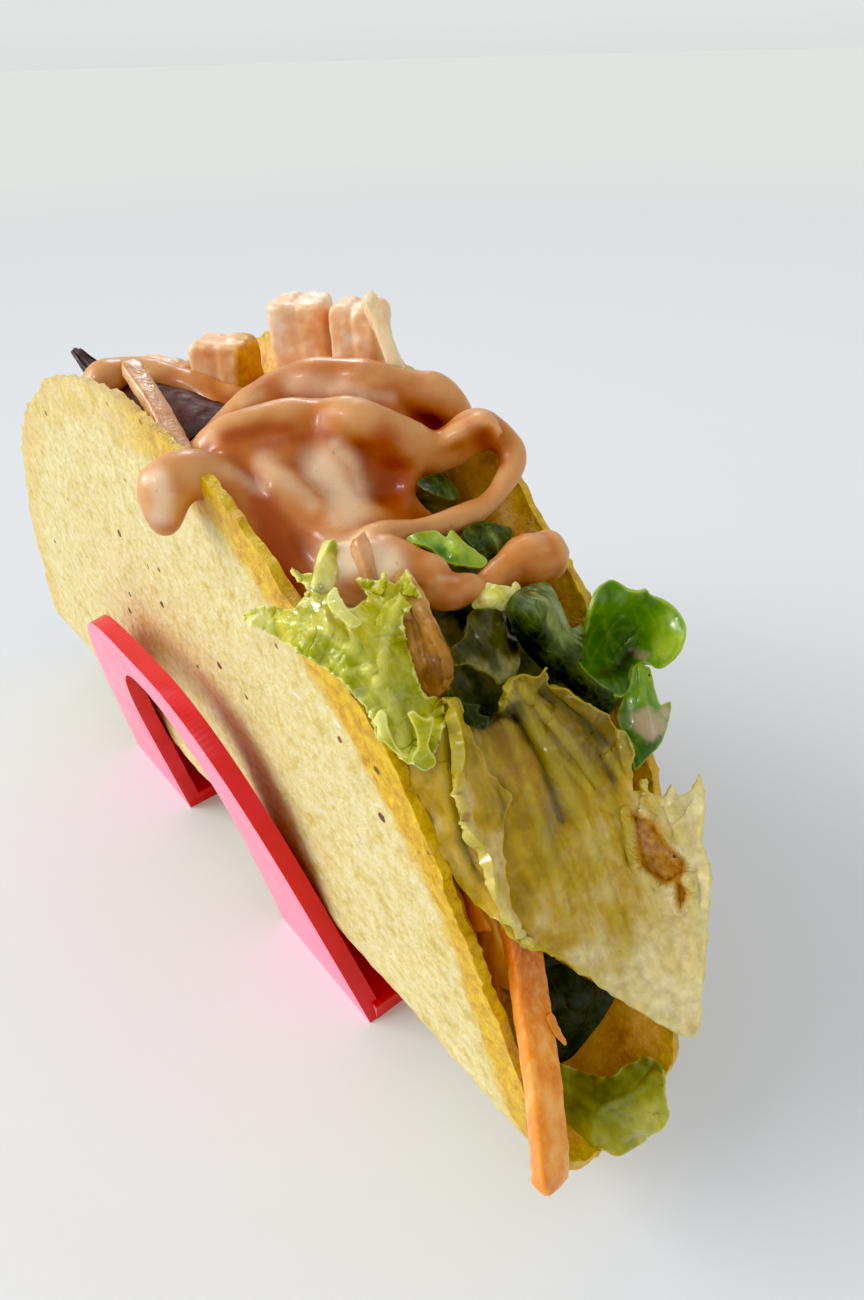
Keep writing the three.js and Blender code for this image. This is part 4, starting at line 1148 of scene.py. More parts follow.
frontLeaf = {
    "step": 2.4, "thickness": 0.8, "edgeThin": 0.75, "ragged": (0.6, 12), "crinkle": (0.35, 3.2),
    "outline": [(450, 698), (460, 718), (474, 726), (488, 720), (500, 708), (505, 692), (512, 678),
                (524, 674), (538, 676), (547, 667), (546, 683), (564, 688), (583, 701), (606, 714),
                (616, 729), (629, 738), (634, 752), (630, 775), (633, 790), (640, 790), (644, 779),
                (650, 793), (662, 797), (672, 785), (678, 795), (690, 791), (699, 775), (704, 800),
                (703, 840), (710, 872), (710, 905), (706, 950), (702, 1000), (699, 1029), (691, 1035),
                (661, 1023), (630, 1004), (603, 986), (575, 968), (545, 952), (530, 949), (514, 940),
                (499, 921), (478, 903), (450, 868), (428, 829), (412, 793), (396, 764), (402, 745),
                (420, 722), (438, 700)],
    "depth": [(451, 690, 67.1), (480, 726, 68.6), (503, 686, 69.8), (547, 672, 71.5), (583, 703, 72.6),
              (614, 730, 72.9), (633, 760, 72.9), (640, 785, 72.8), (673, 790, 73.2), (699, 780, 73.6),
              (703, 840, 73.0), (710, 905, 73.1), (701, 1000, 75.6), (698, 1032, 76.6), (661, 1020, 76.5),
              (603, 984, 75.3), (545, 950, 71.9), (515, 938, 70.4), (479, 902, 70.6), (452, 862, 69.9),
              (430, 825, 69.2), (412, 790, 68.9), (397, 762, 68.8), (420, 718, 66.6), (540, 760, 70.4),
              (560, 900, 71.4), (620, 930, 74.5), (500, 740, 69.8), (530, 830, 69.6), (600, 780, 72.4),
              (650, 830, 73.4), (655, 860, 74.6), (460, 760, 67.6), (480, 850, 68.9), (495, 800, 68.9),
              (505, 900, 69.6)],
    "ruffle": [(0.6, 90, 24), (0.25, 24, 7)],
    "ribs": [([(505, 690), (545, 745), (580, 820), (610, 900), (640, 985)], 5, 0.5),
             ([(520, 688), (570, 745), (615, 810), (650, 900), (680, 980)], 4, 0.4),
             ([(500, 700), (520, 770), (545, 850), (570, 930)], 4, 0.35),
             ([(540, 690), (590, 730), (640, 800)], 3.5, 0.35),
             ([(550, 752), (600, 800), (690, 870)], 3, 0.25),
             ([(575, 815), (640, 880), (695, 940)], 3, 0.2),
             ([(560, 850), (600, 930), (615, 975)], 2.5, 0.2),
             ([(440, 730), (448, 800), (470, 870)], 5, 0.4),
             ([(624, 812), (630, 840), (634, 866), (648, 882), (668, 888)], 3, 0.5),
             ([(672, 806), (680, 830), (688, 850)], 5, 0.8),
             ([(690, 880), (697, 920), (692, 970)], 4, 0.6),
             ([(650, 800), (660, 812), (668, 830)], 3, 0.4),
             ([(619, 732), (624, 752), (628, 775)], 3, 0.5),
             ([(530, 948), (603, 982), (660, 1016), (690, 1030)], 4, 0.35)],
    "tones": [(470, 690, 0.8), (540, 700, 1.0), (520, 780, 0.75), (560, 800, 0.85), (600, 740, 1.1),
              (560, 740, 0.95), (620, 880, 0.42), (680, 960, 0.08), (560, 930, 0.5), (540, 930, 0.55),
              (580, 880, 0.5), (440, 800, 0.6), (428, 822, 0.3), (470, 880, 0.62), (455, 850, 0.6),
              (580, 955, 0.1), (690, 800, 0.1), (650, 800, 0.3), (640, 850, 0.35), (620, 820, 0.5),
              (420, 760, 0.65), (600, 980, 0.15), (520, 850, 0.65), (510, 900, 0.6), (660, 1000, 0.05),
              (700, 870, -0.3)],
    "stains": [(500, 735, 26, 0.7), (520, 770, 30, 0.75), (545, 810, 26, 0.55), (610, 870, 26, 0.45),
               (640, 900, 22, 0.4), (690, 900, 18, 0.5), (590, 960, 18, 0.4)],
    "bruises": [(535, 705, 16, 0.5), (575, 720, 16, 0.4), (480, 730, 10, 0.6), (600, 790, 20, 0.45),
                (585, 850, 26, 0.4), (560, 900, 20, 0.35), (620, 930, 18, 0.3)],
    "folds": [([(541, 692), (562, 705), (585, 725), (603, 744)], 8, 0.8),
              ([(514, 705), (524, 730), (540, 762), (552, 795), (560, 820)], 8, 0.75),
              ([(574, 722), (593, 748), (612, 780)], 8, 0.5),
              ([(486, 722), (503, 712), (516, 718)], 8, 1.1),
              ([(455, 742), (452, 790), (462, 838), (480, 878)], 7, 0.5),
              ([(610, 790), (622, 830), (626, 860)], 8, 0.4)],
    "patches": [([(627, 811), (644, 813), (656, 820), (662, 829), (668, 840), (680, 850), (689, 862),
                  (688, 876), (676, 886), (662, 886), (648, 877), (638, 868), (633, 852), (632, 838),
                  (630, 824)], 0.6),
                ([(674, 884), (684, 880), (691, 890), (689, 903), (680, 910), (673, 898)], 0.4)],
}

frontFlap = {
    "thickness": 1.1, "edgeThin": 0.9, "edgeReach": 4, "ragged": (0.5, 9), "crinkle": (0.15, 2.5),
    "outline": [(448, 700), (455, 732), (458, 757), (454, 789), (460, 812), (470, 840), (482, 853),
                (488, 872), (493, 898), (508, 921), (529, 948), (526, 938), (514, 922), (506, 897),
                (501, 853), (500, 827), (508, 802), (507, 792), (489, 776), (479, 757), (464, 726),
                (456, 704)],
    "depth": [(448, 700, 65.9), (455, 732, 65.8), (457, 789, 65.9), (470, 840, 66.3), (488, 872, 67),
              (493, 898, 67.5), (508, 921, 68.8), (529, 946, 70.4), (514, 922, 69.4), (506, 897, 68.7),
              (501, 853, 68), (500, 827, 67.9), (508, 797, 68.2), (489, 776, 68), (479, 757, 67.7),
              (464, 726, 67.2), (480, 810, 66.6)],
    "ruffle": [(0.25, 30, 5)],
    "ribs": [([(450, 705), (457, 760), (457, 790), (468, 835), (487, 868), (496, 900), (526, 944)], 3,
              0.5)],
    "tones": [(452, 720, 0.6), (460, 762, 0.8), (456, 790, 0.4), (475, 775, 0.55), (500, 798, 0.75),
              (478, 815, 0.6), (492, 845, 0.25), (464, 822, 0.3), (497, 890, 0.3), (515, 925, 0.2)],
    "folds": [([(497, 790), (500, 810), (496, 830)], 8, 0.4)],
    "stains": [(462, 815, 7, 0.7)],
}

upperLobe = {
    "ragged": (1.0, 7),
    "outline": [(451, 666), (449, 653), (464, 636), (470, 614), (488, 609), (505, 611), (512, 623),
                (518, 648), (518, 668), (503, 684), (490, 676), (468, 665)],
    "depth": [(451, 666, 67.6), (464, 636, 70.4), (470, 614, 72), (505, 611, 73.4), (518, 648, 73.4),
              (518, 668, 72), (503, 684, 70.2), (480, 668, 69), (490, 640, 70.8)],
    "ruffle": [(0.5, 34, 8)],
    "ribs": [([(470, 620), (485, 645), (497, 675)], 3, 0.35),
             ([(500, 615), (500, 640), (503, 670)], 3, 0.3)],
    "tones": [(470, 630, 0.7), (500, 640, 0.7), (480, 645, 0.8), (460, 655, 0.6), (470, 670, 0.1),
              (488, 678, -0.1), (503, 685, 0.1)],
    "folds": [([(462, 645), (480, 650), (496, 668)], 9, 0.7), ([(505, 620), (512, 650)], 8, 0.8)],
}

darkCurl = {
    "step": 2.0, "thickness": 0.5, "ragged": (1.2, 6),
    "outline": [(449, 679), (456, 702), (470, 704), (479, 706), (476, 713), (488, 718), (483, 730),
                (472, 727), (463, 731), (468, 742), (456, 728), (449, 705)],
    "depth": [(449, 679, 66.2), (456, 702, 66.8), (479, 706, 68), (488, 718, 68.4), (483, 730, 68.2),
              (465, 735, 67.6), (452, 715, 66.4), (468, 716, 66.6)],
    "tones": [(455, 700, 0.9), (480, 715, 1.1)],
}

frontFrill = {
    "step": 2.0, "edgeThin": 0.5, "ragged": (1.1, 7), "crinkle": (0.5, 2.4),
    "outline": [(243, 616), (257, 607), (274, 607), (290, 610), (303, 600), (306, 588), (297, 580),
                (291, 569), (303, 575), (314, 573), (322, 586), (333, 592), (336, 588), (341, 600),
                (348, 609), (360, 604), (368, 596), (361, 586), (357, 579), (370, 580), (380, 580),
                (384, 572), (389, 582), (398, 582), (407, 570), (412, 582), (421, 596), (412, 606),
                (403, 618), (407, 640), (411, 658), (418, 680), (425, 695), (438, 697), (445, 712),
                (440, 740), (430, 760), (415, 764), (400, 758), (390, 744), (378, 740), (373, 724),
                (366, 708), (350, 690), (336, 677), (318, 664), (297, 652), (278, 638), (262, 630)],
    "depth": [(243, 616, 67.6), (258, 607, 67.6), (275, 634, 66.4), (297, 651, 65.6), (336, 675, 64.6),
              (359, 701, 64.4), (373, 718, 64.8), (385, 745, 66), (405, 758, 66.8), (430, 755, 66.6),
              (442, 720, 66), (424, 694, 65.8), (410, 658, 66.1), (403, 618, 66.6), (421, 596, 67.2),
              (407, 572, 68), (384, 574, 67.6), (357, 582, 67.6), (365, 605, 66.6), (336, 590, 67.4),
              (345, 625, 65), (300, 590, 68), (291, 570, 69.2), (310, 578, 69), (300, 625, 65.6),
              (350, 655, 63.8), (385, 680, 63.9), (320, 635, 64.6), (400, 715, 65.4), (375, 635, 64.9)],
    "ruffle": [(0.9, 58, 14), (0.5, 23, 6), (0.25, 9, 3)],
    "ribs": [([(405, 740), (390, 700), (365, 660), (330, 630), (280, 620)], 5, 0.5),
             ([(380, 680), (385, 640), (400, 600)], 4, 0.4),
             ([(355, 650), (350, 620), (338, 595)], 3, 0.35),
             ([(330, 632), (318, 600), (300, 580)], 3, 0.3), ([(375, 670), (345, 672)], 3, 0.3)],
    "tones": [(250, 615, 0.1), (300, 630, 0.7), (340, 660, 0.85), (380, 600, 0.65), (410, 590, 0.7),
              (350, 620, 0.4), (390, 690, 0.8), (410, 740, 0.75), (300, 580, 0.8), (330, 650, 0.9)],
}

frillStem = {
    "step": 1.8, "thickness": 1.1, "edgeThin": 0.8, "crinkle": (0.1, 2),
    "outline": [(309, 604), (311, 590), (316, 570), (322, 552), (328, 540), (332, 539), (335, 550),
                (336, 560), (333, 575), (328, 592), (322, 604)],
    "depth": [(311, 600, 67), (320, 560, 68.6), (330, 541, 69.6), (334, 565, 69.6), (325, 595, 67.6),
              (324, 575, 67.6)],
    "tones": [(318, 590, 0.1), (326, 560, 0.3), (334, 552, 0.9)],
}

frillEars = [
    {"step": 1.8, "ragged": (0.6, 5), "crinkle": (0.2, 2),
     "outline": [(374, 722), (380, 710), (385, 712), (388, 726), (392, 738), (398, 748), (408, 757),
                 (396, 752), (384, 742), (378, 738), (378, 726)],
     "depth": [(376, 722, 63), (382, 711, 62.6), (388, 728, 62.8), (384, 740, 63.2), (396, 749, 64),
               (408, 757, 65)],
     "tones": [(380, 720, 0.15), (400, 750, 0.7)]},
    {"step": 1.8, "ragged": (0.6, 5), "crinkle": (0.2, 2),
     "outline": [(408, 713), (413, 711), (420, 716), (427, 719), (432, 716), (431, 730), (428, 745),
                 (436, 762), (424, 770), (412, 758), (417, 748), (416, 732)],
     "depth": [(409, 713, 62.8), (420, 716, 63), (432, 718, 63.6), (417, 745, 63.8), (429, 742, 63.8),
               (434, 762, 65.4), (414, 758, 65)],
     "tones": [(412, 716, 0.4), (425, 725, 0.7), (428, 755, 0.9)]},
    {"step": 1.8, "ragged": (0.5, 5), "crinkle": (0.2, 2),
     "outline": [(327, 597), (335, 588), (339, 596), (348, 611), (361, 624), (352, 628), (340, 618),
                 (330, 608)],
     "depth": [(330, 600, 64.6), (335, 590, 65.4), (348, 611, 64.2), (360, 624, 64), (340, 617, 63.8)],
     "tones": [(335, 600, 0.05), (355, 620, 0.3)]},
]

coatedFold = {
    "step": 2.0, "thickness": 1.0, "edgeThin": 0.75, "edgeReach": 1.5, "ragged": (1.0, 8),
    "crinkle": (0.5, 2.2),
    "outline": [(396, 574), (408, 571), (418, 584), (427, 603), (435, 620), (443, 637), (450, 653),
                (452, 672), (449, 688), (442, 696), (433, 699), (424, 694), (414, 676), (406, 650),
                (401, 620), (397, 597)],
    "depth": [(397, 575, 69.2), (416, 580, 69.4), (398, 597, 68.4), (412, 596, 68.4), (424, 612, 67.8),
              (434, 628, 67), (449, 656, 66.2), (450, 680, 66.2), (442, 694, 66.4), (424, 694, 67),
              (410, 655, 67.6), (402, 616, 68.2), (428, 655, 66.2), (432, 640, 66.6)],
    "ribs": [([(412, 600), (430, 630), (446, 660), (449, 684)], 2.5, 0.45),
             ([(404, 610), (414, 650), (426, 690)], 2.2, 0.35),
             ([(410, 605), (424, 640), (436, 688)], 2.0, -0.4),
             ([(402, 590), (420, 622), (440, 676)], 1.6, -0.25)],
    "tones": [(405, 580, -0.1), (408, 605, 0.1), (415, 640, 0.3), (422, 665, 0.4), (432, 668, 1.1),
              (440, 645, 0.6), (440, 690, 0.6), (450, 672, 0.9)],
}

rolledLeaf = {
    "step": 2.0, "thickness": 0.8, "ragged": (0.6, 8), "crinkle": (0.2, 1.8),
    "outline": [(508, 606), (516, 594), (527, 588), (546, 584), (560, 606), (571, 629), (581, 626),
                (586, 640), (578, 664), (597, 684), (619, 698), (608, 714), (589, 703), (566, 684),
                (545, 670), (528, 652), (518, 638), (510, 620)],
    "depth": [(508, 606, 72.6), (520, 594, 73.4), (546, 585, 75.4), (525, 610, 70.8), (545, 605, 71.4),
              (560, 607, 75), (571, 630, 76.2), (550, 630, 71.8), (575, 650, 73.4), (581, 627, 76.4),
              (528, 652, 74.6), (545, 670, 75.4), (566, 684, 75.6), (560, 655, 72.8), (590, 680, 74.4),
              (619, 698, 76.6), (608, 714, 77), (520, 632, 72.8)],
    "ribs": [([(520, 600), (548, 612), (562, 635), (590, 680)], 5, 0.3)],
    "tones": [(520, 600, 0.6), (540, 602, 0.2), (552, 614, 0.05), (564, 628, 0.0), (572, 642, 0.2),
              (535, 640, 1.1), (590, 690, 0.9), (570, 660, 0.9), (515, 625, 1.0)],
}

cupLeaf = {
    "step": 2.0, "thickness": 0.7, "ragged": (0.5, 9), "crinkle": (0.15, 3),
    "outline": [(577, 663), (576, 641), (583, 632), (589, 611), (597, 590), (610, 580), (620, 583),
                (630, 590), (640, 591), (646, 589), (650, 594), (663, 600), (676, 609), (685, 623),
                (683, 642), (675, 657), (659, 669), (652, 666), (646, 664), (633, 669), (629, 691),
                (619, 698), (597, 684)],
    "depth": [(577, 663, 75.9), (576, 641, 75.3), (589, 611, 75.6), (597, 590, 75.8), (610, 580, 76.2),
              (630, 590, 76.6), (646, 592, 76.6), (663, 600, 76.6), (676, 609, 76.3), (684, 624, 75.6),
              (683, 642, 75.2), (675, 657, 75.4), (659, 669, 76.2), (646, 664, 77.4), (633, 669, 77.8),
              (629, 691, 76.9), (619, 697, 76.6), (597, 684, 76), (605, 650, 79), (612, 620, 78.6),
              (640, 620, 78.8), (660, 630, 77.6), (625, 660, 79), (670, 645, 76.6)],
    "ruffle": [(0.3, 50, 7)],
    "ribs": [([(622, 690), (612, 655), (602, 625), (600, 600)], 2.2, -0.25),
             ([(612, 655), (640, 625), (672, 612)], 2.0, -0.2),
             ([(618, 668), (600, 660), (585, 640)], 1.8, -0.15),
             ([(605, 632), (625, 605), (640, 596)], 1.8, -0.15)],
    "tones": [(590, 660, 1.3), (605, 670, 1.3), (605, 635, 1.0), (625, 650, 1.1), (600, 600, 0.7),
              (640, 605, 0.65), (650, 625, 0.5), (670, 625, 0.35), (668, 645, 0.15), (640, 640, 0.8)],
    "stains": [(640, 655, 11, 0.7), (668, 655, 8, 0.5)],
    "folds": [([(600, 675), (618, 672), (630, 655)], 10, 0.7)],
}

tipLeaf = {
    "step": 1.8, "ragged": (0.5, 6), "crinkle": (0.15, 2),
    "outline": [(633, 668), (641, 665), (649, 668), (654, 690), (660, 705), (669, 702), (667, 724),
                (660, 743), (647, 758), (634, 770), (631, 758), (633, 747), (622, 733), (618, 716),
                (623, 701), (630, 685)],
    "depth": [(633, 668, 77.4), (649, 668, 77.4), (654, 690, 77.6), (669, 703, 78.6), (667, 724, 78),
              (660, 743, 77), (647, 758, 76.2), (634, 769, 75.4), (622, 733, 76), (618, 716, 76.8),
              (630, 685, 77), (643, 700, 76.2), (645, 730, 75.8)],
    "ribs": [([(640, 668), (642, 700), (650, 740)], 2.2, 0.25)],
    "tones": [(640, 680, 0.35), (625, 720, 0.9), (635, 700, 0.5), (645, 760, 1.0)],
    "stains": [(648, 725, 17, 1.3), (662, 712, 9, 1.0)],
}

brightBit = {
    "step": 1.8, "ragged": (0.8, 5), "crinkle": (0.3, 2),
    "outline": [(406, 540), (420, 533), (436, 532), (446, 538), (451, 531), (458, 537), (465, 544),
                (476, 552), (487, 562), (482, 568), (468, 567), (452, 565), (440, 558), (428, 548),
                (416, 545)],
    "depth": [(406, 540, 74.4), (430, 534, 75.6), (451, 532, 76), (466, 545, 75.4), (487, 563, 75.2),
              (468, 566, 74.4), (440, 557, 73.8), (416, 544, 73.8), (455, 552, 73.8)],
    "tones": [(430, 540, 0.2), (455, 545, -0.1), (475, 560, 0.2), (440, 555, 0.9)],
}

darkBit = {
    "step": 1.8, "ragged": (0.8, 6), "crinkle": (0.3, 2),
    "outline": [(463, 533), (470, 526), (482, 522), (498, 525), (512, 531), (507, 545), (500, 558),
                (490, 566), (480, 557), (470, 546)],
    "depth": [(463, 533, 77.4), (482, 523, 79), (512, 531, 78.8), (500, 558, 77.6), (488, 565, 76.6),
              (470, 546, 76.6), (488, 542, 77.2)],
    "tones": [(480, 530, 0.7), (495, 545, 0.5)],
}

poolBit = {
    "step": 1.8, "ragged": (0.8, 6), "crinkle": (0.3, 2),
    "outline": [(417, 484), (427, 477), (440, 474), (448, 482), (458, 492), (455, 500), (442, 498),
                (428, 492)],
    "depth": [(417, 484, 79.6), (440, 475, 80.2), (458, 493, 79.8), (442, 497, 78.8), (434, 484, 79.2)],
    "tones": [(435, 485, 0.8), (450, 492, 0.5)],
}

paleChip = {
    "step": 1.6, "thickness": 0.9, "ragged": (0.5, 4), "crinkle": (0.15, 2),
    "outline": [(472, 606), (477, 594), (486, 584), (496, 586), (506, 587), (512, 588), (514, 582),
                (519, 587), (519, 594), (513, 600), (506, 608), (494, 613), (482, 611)],
    "depth": [(472, 606, 73), (486, 585, 73.4), (514, 583, 74), (518, 593, 74), (494, 612, 73.2),
              (495, 598, 72.4)],
    "tones": [(490, 600, 0.2), (512, 590, 0.0), (495, 590, 0.5)],
    "stains": [(482, 600, 10, 0.5)],
}

bottomPiece = {
    "step": 2.0, "thickness": 0.8, "ragged": (0.7, 9), "crinkle": (0.35, 2.6),
    "outline": [(545, 1068), (559, 1063), (584, 1073), (610, 1076), (622, 1067), (636, 1061), (651, 1059),
                (663, 1069), (665, 1085), (667, 1104), (669, 1120), (651, 1136), (634, 1147), (616, 1155),
                (603, 1150), (584, 1146), (562, 1136), (548, 1112)],
    "depth": [(545, 1068, 88), (559, 1063, 87.6), (584, 1073, 86.6), (609, 1076, 86), (636, 1061, 86.4),
              (663, 1069, 85.8), (668, 1120, 84.4), (640, 1145, 84.6), (616, 1154, 84.6), (584, 1146, 85),
              (550, 1120, 86), (620, 1105, 83.6), (590, 1110, 84.4)],
    "ruffle": [(0.5, 60, 12), (0.25, 18, 5)],
    "ribs": [([(552, 1078), (585, 1100), (620, 1120), (655, 1128)], 3.5, 0.3),
             ([(600, 1110), (635, 1095), (655, 1075)], 2.5, 0.2)],
    "tones": [(560, 1075, 0.7), (600, 1100, 0.9), (640, 1080, 0.7), (655, 1120, 0.25), (600, 1140, 0.4)],
}

insideLeaf = {
    "step": 2.4, "thickness": 0.8, "ragged": (0.6, 9), "crinkle": (0.4, 3),
    "outline": [(535, 950), (548, 955), (580, 975), (603, 987), (614, 994), (603, 1016), (587, 1038),
                (570, 1056), (556, 1060), (546, 1040), (535, 1000)],
    "depth": [(535, 950, 83.6), (560, 963, 84.4), (603, 987, 86.4), (614, 994, 87.2), (587, 1038, 87),
              (558, 1058, 87.6), (545, 1020, 85.6), (575, 1005, 84.8)],
    "ribs": [([(540, 960), (565, 1000), (580, 1040)], 2.5, -0.2), ([(560, 990), (600, 1000)], 2, -0.15)],
    "tones": [(560, 980, 0.8), (590, 1010, 0.7), (560, 1040, 0.5)],
}

# leaves past the camera's reach: rows of points in millimetres, from the root to the free edge
farLeaf = {
    "cells": (90, 90), "tone": (0.25, 0.8), "thickness": 0.7, "teeth": (1.6, 13),
    "ruffle": ((1.0, 2, 2), (0.6, 5, 4), (0.3, 13, 7)), "sideRibs": 7,
    "grid": [[(-46, -7, 49.6), (-46.5, 0, 50), (-45, 9, 49.6)],
             [(-52, -7.4, 43), (-53, 0, 43.6), (-52, 8.8, 42.4)],
             [(-56, -7.4, 34), (-58, 0, 33), (-57.6, 8.2, 31)],
             [(-60.4, -6.6, 25), (-62.6, 0.4, 22.6), (-62.4, 4.2, 21.4)]],
}

farFrill = {
    "cells": (80, 130), "tone": (0.2, 0.9), "teeth": (1.8, 17),
    "ruffle": ((0.9, 3, 1.5), (0.6, 8, 3), (0.3, 19, 6)), "sideRibs": 5,
    "grid": [[(-31, 8, 56), (-36.5, 8, 53.4), (-42, 7.4, 48.4)],
             [(-30.5, 12.4, 62.2), (-36, 12.2, 59.6), (-42, 11.4, 54.8)],
             [(-30.5, 16.4, 62.8), (-36, 16.2, 60.2), (-42.3, 15.2, 55.2)],
             [(-30, 18.4, 58.6), (-36, 18.4, 55.6), (-43, 17.4, 50.6)]],
}

farDark = {
    "cells": (60, 60), "tone": (0.4, 0.9), "thickness": 0.7, "teeth": (0.8, 9),
    "ruffle": ((0.6, 2, 2), (0.3, 5, 4)),
    "grid": [[(-35, -6, 54), (-38, -7, 52), (-41, -7.2, 50)],
             [(-38, -4, 57.4), (-42, -5, 55.4), (-45, -6, 52)],
             [(-41, -2, 59), (-45, -3, 56), (-48, -4, 52)]],
}

purpleLeaf = {
    "cells": (70, 40), "tone": (0.3, 1.0), "thickness": 0.7, "teeth": (0.1, 5), "crinkle": (0.1, 3),
    "ribHeight": 0.04, "ruffle": ((0.2, 2, 2), (0.1, 5, 3)),
    "grid": [[(6, -7.6, 64.6), (6, -3.4, 66.2), (6, 0.8, 65.6)],
             [(-6, -7.8, 65.6), (-6, -4.2, 67), (-6, -0.6, 66)],
             [(-15, -8.2, 66.6), (-15, -6.4, 67.2), (-14.6, -4.6, 66.6)],
             [(-21, -7.6, 68.6), (-21, -7.2, 68.8), (-21, -6.8, 68.6)]],
}

# name, slot, material, node, and the sheets it is made of, each with the seed of its torn edge
leafPieces = [
    ("lettuce_large_leaf", "lettuce", largeGreen, "lettuce_leaf_front", (frontLeaf, 3), (frontFlap, 5)),
    ("lettuce_upper_lobe", "lettuce", lobeGreen, None, (upperLobe, 7)),
    ("leaf_curl_inside", "dark_leaf", darkGreen, None, (darkCurl, 4)),
    ("lettuce_frill", "lettuce", lettuceGreen, "lettuce_frill_front", (frontFrill, 2), (frillStem, 6),
     *((ear, 8 + k) for k, ear in enumerate(frillEars))),
    ("coated_fold", "coated_leaf", coatedTan, "coated_leaf_fold", (coatedFold, 5)),
    ("leaf_roll", "dark_leaf", darkGreen, "rolled_leaf", (rolledLeaf, 3)),
    ("leaf_bowl", "bright_leaf", brightGreen, "leaf_cup", (cupLeaf, 2)),
    ("leaf_point", "dark_leaf", brightGreen, "leaf_tip", (tipLeaf, 2)),
    ("leaf_chip_1", "bright_leaf", brightGreen, "leaf_bit_1", (brightBit, 2)),
    ("leaf_chip_2", "bright_leaf", darkGreen, "leaf_bit_2", (darkBit, 2)),
    ("leaf_chip_3", "bright_leaf", darkGreen, "leaf_bit_3", (poolBit, 2)),
    ("stem_chip", "lettuce", lettuceGreen, "lettuce_stem", (paleChip, 2)),
    ("lettuce_bottom", "lettuce", oliveGreen, "lettuce_piece_bottom", (bottomPiece, 2)),
    ("leaf_dark_inside", "dark_leaf", deepGreen, "dark_leaf_inside", (insideLeaf, 2)),
    ("lettuce_far_leaf", "lettuce", lettuceGreen, "lettuce_leaf_back", (farLeaf, 4)),
    ("lettuce_far_frill", "lettuce", lettuceGreen, "lettuce_frill_back", (farFrill, 2)),
    ("leaf_far_dark", "dark_leaf", darkGreen, "dark_leaf_back", (farDark, 3)),
    ("leaf_purple", "purple_leaf", purpleSkin, "purple_leaf", (purpleLeaf, 3)),
]
for name, slot, material, node, *sheets in leafPieces:
    parts = [gridSheet(sheet, seed) if "grid" in sheet else cutSheet(sheet, seed) for sheet, seed in sheets]
    finishPiece(joinInto(*parts), name, slot, material, *([node] if node else []))


# cut strips of carrot and onion

strips = {
    # width and height in millimetres, which way its broad side faces, and the run of the strip
    "carrot_strip_1": {"size": (3.0, 2.1), "up": (1, 0, 0.3), "run": [(51.5, -5.2, 38.5),
                                                                      (54.6, -6.2, 34.3),
                                                                      (57.9, -8, 29.8),
                                                                      (61.4, -9.9, 24.6),
                                                                      (63.9, -11.2, 18.4),
                                                                      (64.4, -11.5, 15.8)]},
    "carrot_strip_2": {"size": (3, 1.4), "up": (0, 1, 0), "run": [(44.6, -7.2, 40.6), (48.4, -7.3, 37.2),
                                                                  (51.4, -7.5, 33.6)]},
    "carrot_strip_3": {"size": (3.6, 1.4), "up": (0, 1, 0), "run": [(50.4, -6.6, 35.8), (52.3, -7, 32),
                                                                    (53.7, -7.3, 28)]},
    "carrot_strip_4": {"size": (3, 2.2), "up": (0, 0, 1), "run": [(-16, -6.4, 64), (-22, -2.8, 62.4),
                                                                  (-30, 0.5, 60.4)]},
    "carrot_strip_5": {"size": (3, 2.2), "up": (-1, 0, 0.3), "run": [(-48, 5.2, 38.5), (-54, 6, 33),
                                                                     (-60, 6.4, 26), (-64, 6.6, 19),
                                                                     (-65.3, 6.8, 13.4)]},
    "onion_strip_1": {"size": (1.9, 1.5), "up": (0.64, 0.77, 0), "run": [(17.6, 11.4, 70.4),
                                                                         (15.4, 11, 74.8),
                                                                         (13.6, 10.8, 77.4)]},
    "onion_strip_2": {"size": (2.1, 1.5), "up": (0, 0, 1), "run": [(13.7, -10.6, 66.4), (6.9, -9.5, 69.1),
                                                                   (-0.2, -8.7, 71.7)]},
    "onion_strip_3": {"size": (1.6, 1.4), "up": (0, 1, 0), "run": [(35.8, -6.3, 60.6), (34.6, -5.9, 62.6),
                                                                   (33.4, -5.5, 64.6)]},
}


def ringStrip(run, size, up, seed, sides=16, step=0.6, twist=0.25, taper=0.0):
    places = [Vector(p) for p in run]
    length = sum((b - a).length for a, b in zip(places[:-1], places[1:]))
    steps = max(6, round(length / step))
    points, faces = [], []
    for i in range(steps + 1):
        share = i / steps
        centre = curvePoint(places, share)
        before, after = curvePoint(places, max(share - 0.01, 0)), curvePoint(places, min(share + 0.01, 1))
        ahead = (after - before).normalized()
        side = Vector(up).cross(ahead).normalized()
        top = ahead.cross(side)
        turn = twist * math.sin(3 * share + seed)
        end = min(share, 1 - share) * length
        shrink = (1 - taper * share) * (0.72 + 0.28 * smoothStep(0, 0.5, end))
        for k in range(sides):
            angle = 2 * math.pi * (k + 0.5) / sides + turn
            a, b = math.cos(angle - turn), math.sin(angle - turn)
            across = math.copysign(abs(a) ** 0.36, a) * size[0] / 2 * shrink
            over = math.copysign(abs(b) ** 0.36, b) * size[1] / 2 * shrink
            spun = (across * math.cos(turn) - over * math.sin(turn),
                    across * math.sin(turn) + over * math.cos(turn))
            place = centre + side * spun[0] + top * spun[1]
            bump = 0.08 * noise.noise(Vector((place.x * 0.5, place.y * 1.5, place.z * 0.5 + seed)))
            bump += 0.07 * noise.noise(place * 2.2)
            slant = 0.5 * size[1] * (b if i == steps else (-b if i == 0 else 0))
            points.append(place + (place - centre).normalized() * bump + ahead * slant * 0.5)
        if i:
            base = (i - 1) * sides
            faces += [(base + k, base + (k + 1) % sides, base + sides + (k + 1) % sides, base + sides + k)
                      for k in range(sides)]
    faces.append(tuple(reversed(range(sides))))
    faces.append(tuple(range(steps * sides, (steps + 1) * sides)))
    return points, faces


